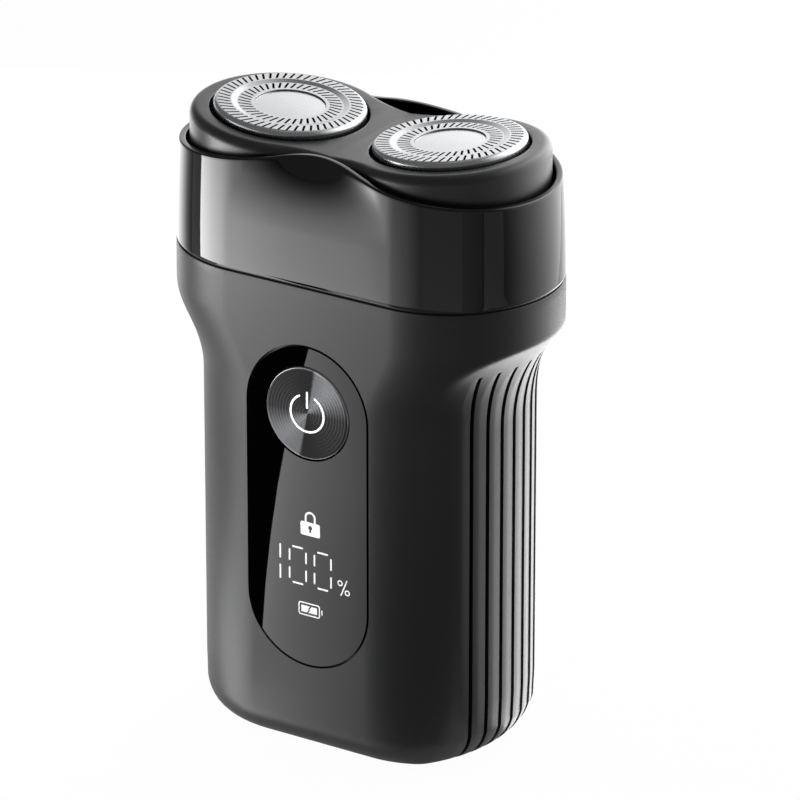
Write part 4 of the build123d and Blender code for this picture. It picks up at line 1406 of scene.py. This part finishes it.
@dataclass
class Studio:
    """Camera, pale floor, white backdrop, soft cards and dark flags."""

    eye: Vector = field(default_factory=lambda: Vector((488.4, -750.0, 426.8)) * MM)
    aim: Vector = field(default_factory=lambda: Vector((3.59, 2.31, 49.7)) * MM)
    lens: float = 304.7
    sensor: float = 36.0
    clip: Point = (0.05, 20.0)
    ambient: float = 0.3
    floor_half: float = 3.0
    floor_drop: float = 0.02
    floor_colour: str = "#efefef"
    floor_white: float = 0.975
    floor_mirror: float = 0.15
    canopy_r: float = 450.0
    canopy_glow: float = 0.18
    canopy_lifts: tuple[float, ...] = (2, 12, 25, 40, 55, 70, 85)
    canopy_open: tuple[tuple[float, ...], tuple[float, ...]] = ((2, 40, 60, 85), (120, 125, 165, 178))
    low_card: float = 0.3
    felt_card: float = 0.5
    strip_card: float = 0.6

    def camera(self) -> None:
        """Place the camera as the photo's was."""
        data = bpy.data.cameras.new("camera")
        data.lens = self.lens
        data.sensor_width = self.sensor
        data.clip_start, data.clip_end = self.clip
        made = bpy.data.objects.new("camera", data)
        bpy.context.scene.collection.objects.link(made)
        made.location = self.eye
        made.rotation_mode = "QUATERNION"
        made.rotation_quaternion = (self.aim - self.eye).to_track_quat("-Z", "Y")
        bpy.context.scene.camera = made

    def backdrop(self) -> None:
        """White surroundings for what is seen or mirrored, and an even dim fill for what is lit."""
        world = bpy.data.worlds.new("studio")
        bpy.context.scene.world = world
        world.use_nodes = True
        tree = world.node_tree
        tree.nodes.clear()
        rays = add(tree, "ShaderNodeLightPath").outputs
        seen = maths(tree, "MAXIMUM", rays["Is Camera Ray"], rays["Is Glossy Ray"])
        clear = maths(tree, "MAXIMUM", seen, rays["Is Transmission Ray"])
        light = add(tree, "ShaderNodeBackground", None, {"Strength": maths(tree, "MAXIMUM", clear, self.ambient)})
        add(tree, "ShaderNodeOutputWorld", None, {"Surface": light.outputs[0]})

    def floor(self) -> None:
        """Pale floor that shows white and keeps a trace of the shadow."""
        half = self.floor_half
        made = piece("studio_floor", [(-half, -half, 0), (half, -half, 0), (half, half, 0), (-half, half, 0)],
                     [(0, 1, 2, 3)])
        made.location.z = -self.floor_drop * MM
        paint = blank("pale paper sweep")
        tree = paint.node_tree
        rays = add(tree, "ShaderNodeLightPath").outputs
        camera = maths(tree, "MULTIPLY", rays["Is Camera Ray"], self.floor_white)
        mirror = maths(tree, "MAXIMUM", rays["Is Glossy Ray"], rays["Is Transmission Ray"])
        share = maths(tree, "MAXIMUM", camera, maths(tree, "MULTIPLY", mirror, self.floor_mirror))
        paper = add(tree, "ShaderNodeBsdfDiffuse", {"Color": linear(self.floor_colour)})
        glow = add(tree, "ShaderNodeEmission", {"Strength": 1.0})
        mix = add(tree, "ShaderNodeMixShader", None, {0: share, 1: paper.outputs[0], 2: glow.outputs[0]})
        add(tree, "ShaderNodeOutputMaterial", None, {"Surface": mix.outputs[0]})
        made.data.materials.append(paint)

    def canopy(self) -> None:
        """Dark dome over the front that keeps the upper mirror images deep."""
        rows = []
        for lift in self.canopy_lifts:
            opening = math.radians(np.interp(lift, *self.canopy_open))
            turn = np.linspace(-opening, opening, 49)
            flat, high = math.cos(math.radians(lift)), math.sin(math.radians(lift))
            rows.append(np.stack([np.sin(turn) * flat, -np.cos(turn) * flat, np.full_like(turn, high)], axis=1))
        made = piece("dark_canopy", np.concatenate(rows) * self.canopy_r * MM, quads(len(rows), len(rows[0]), False))
        paint = blank("black felt canopy")
        glow = add(paint.node_tree, "ShaderNodeEmission", {"Strength": self.canopy_glow})
        add(paint.node_tree, "ShaderNodeOutputMaterial", None, {"Surface": glow.outputs[0]})
        set_up(made, paint, Seen.FLAG)

    def lamps(self) -> list[Card]:
        """Choose the standing cards.

        Returns:
            The key light at the front left, and softer cards at the left, the right and the back.
        """
        key = Card("key_card", upright((-106.5, -48.6), (26.0, -116.0), 36.0, 105.0),
                   ((0.0, 12.0), (0.15, 11.4), (0.22, 10.4), (0.3, 9.6), (0.365, 8.4), (0.417, 5.9), (0.45, 4.9),
                    (0.48, 4.2), (0.51, 3.9), (0.54, 3.6), (0.56, 3.0), (0.62, 1.65), (0.79, 1.05), (0.9, 0.6),
                    (1.0, 0.3)),
                   ((0.0, 1.0), (0.27, 1.0), (0.55, 0.6), (0.78, 0.16), (0.95, 0.04), (1.0, 0.03)))
        side = Card("side_card", upright((-170.0, -30.0), (-170.0, 190.0), 0.0, 110.0),
                    ((0.0, 0.1), (0.12, 0.6), (0.2, 1.4), (0.34, 2.8), (1.0, 2.4)),
                    ((0.0, 1.0), (0.6, 1.0), (1.0, 0.2)))
        rim = Card("rim_card", upright((230.0, -20.0), (-20.0, 300.0), 0.0, 380.0),
                   ((0.0, 0.2), (0.2, 0.9), (0.45, 3.2), (0.8, 5.0), (1.0, 4.0)),
                   ((0.0, 0.5), (0.08, 0.55), (0.2, 1.0), (0.7, 1.0), (1.0, 0.3)))
        back = Card("back_card", upright((-20.0, 300.0), (-230.0, 180.0), 0.0, 330.0),
                    ((0.0, 4.0), (0.3, 2.6), (0.55, 1.5), (1.0, 0.9)), ((0.0, 1.0), (0.7, 1.0), (1.0, 0.5)))
        return [key, side, rim, back]

    def flags(self) -> list[Card]:
        """Choose the flat cards on the floor, which only mirror images show.

        Returns:
            The light pool, the spill at the right end and two felts.
        """
        # light pool, bright at the left and fading across the front
        pool = Card("floor_pool", lying(((-61.0, -18.0), (159.0, -18.0)), ((-171.8, -190.0), (48.2, -190.0)),
                                        self.low_card),
                    ((0.0, 4.2), (0.1, 4.8), (0.164, 5.6), (0.2, 5.2), (0.23, 3.6), (0.25, 2.6), (0.273, 2.05),
                     (0.3, 1.6), (0.323, 1.1), (0.341, 0.62), (0.364, 0.28), (0.42, 0.24), (0.7, 0.22), (1.0, 0.3)),
                    ((0.0, 0.95), (0.11, 0.87), (0.22, 0.8), (0.51, 1.0), (0.7, 1.25), (1.0, 1.3)), Seen.FLAG)
        # light that spills round the right end, brighter toward the back
        spill = Card("floor_spill", sector((24.0, -4.0), (70.0, 200.0), (8.0, 170.0), self.low_card),
                     ((0.0, 0.22), (0.11, 0.22), (0.17, 0.25), (0.24, 0.3), (0.36, 0.55), (0.48, 1.5), (0.59, 3.2),
                      (0.71, 5.0), (0.85, 4.6), (1.0, 3.2)), seen=Seen.FLAG)
        # narrow felt whose bowed edge cuts a slanted line into the window's mirror image
        run = np.linspace(0.0, 1.0, 9)
        bowed = [(-17.6 - 84.6 * s + 10.8 * s * s, -30.0 - 128.0 * s) for s in run]
        straight = [(-22.9 - 83.1 * s, -30.0 - 128.0 * s) for s in run]
        strip = Card("black_strip", lying(bowed, straight, self.strip_card), ((0.0, 0.0),), seen=Seen.FLAG)
        # felt on the right whose edge draws a line down the collar
        felt = Card("right_felt", lying(((93.2, -84.8), (117.3, -51.4)), ((315.6, -314.8), (409.6, -181.5)),
                                        self.felt_card),
                    ((0.0, 0.33), (0.8, 0.16), (1.0, 0.15)), seen=Seen.FLAG)
        return [pool, spill, strip, felt]

    def build(self) -> None:
        """Build the whole set."""
        bpy.context.scene.view_settings.view_transform = "Standard"
        self.camera()
        self.backdrop()
        self.floor()
        self.canopy()
        for card in self.lamps() + self.flags():
            card.build()


def main() -> None:
    """Build the set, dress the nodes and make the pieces."""
    logging.basicConfig(level=logging.INFO, format="%(message)s")
    Studio().build()
    for finish, nodes in NODES_IN.items():
        for node in nodes:
            dress(node, finish)
    for finish, stems in PAIRS_IN.items():
        for stem in stems:
            dress(f"{stem}_left", finish)
            dress(f"{stem}_right", finish)
    for part in (Handle(), Display(), PowerButton(), Collar(), Deck()):
        part.build()


if __name__ == "__main__":
    main()
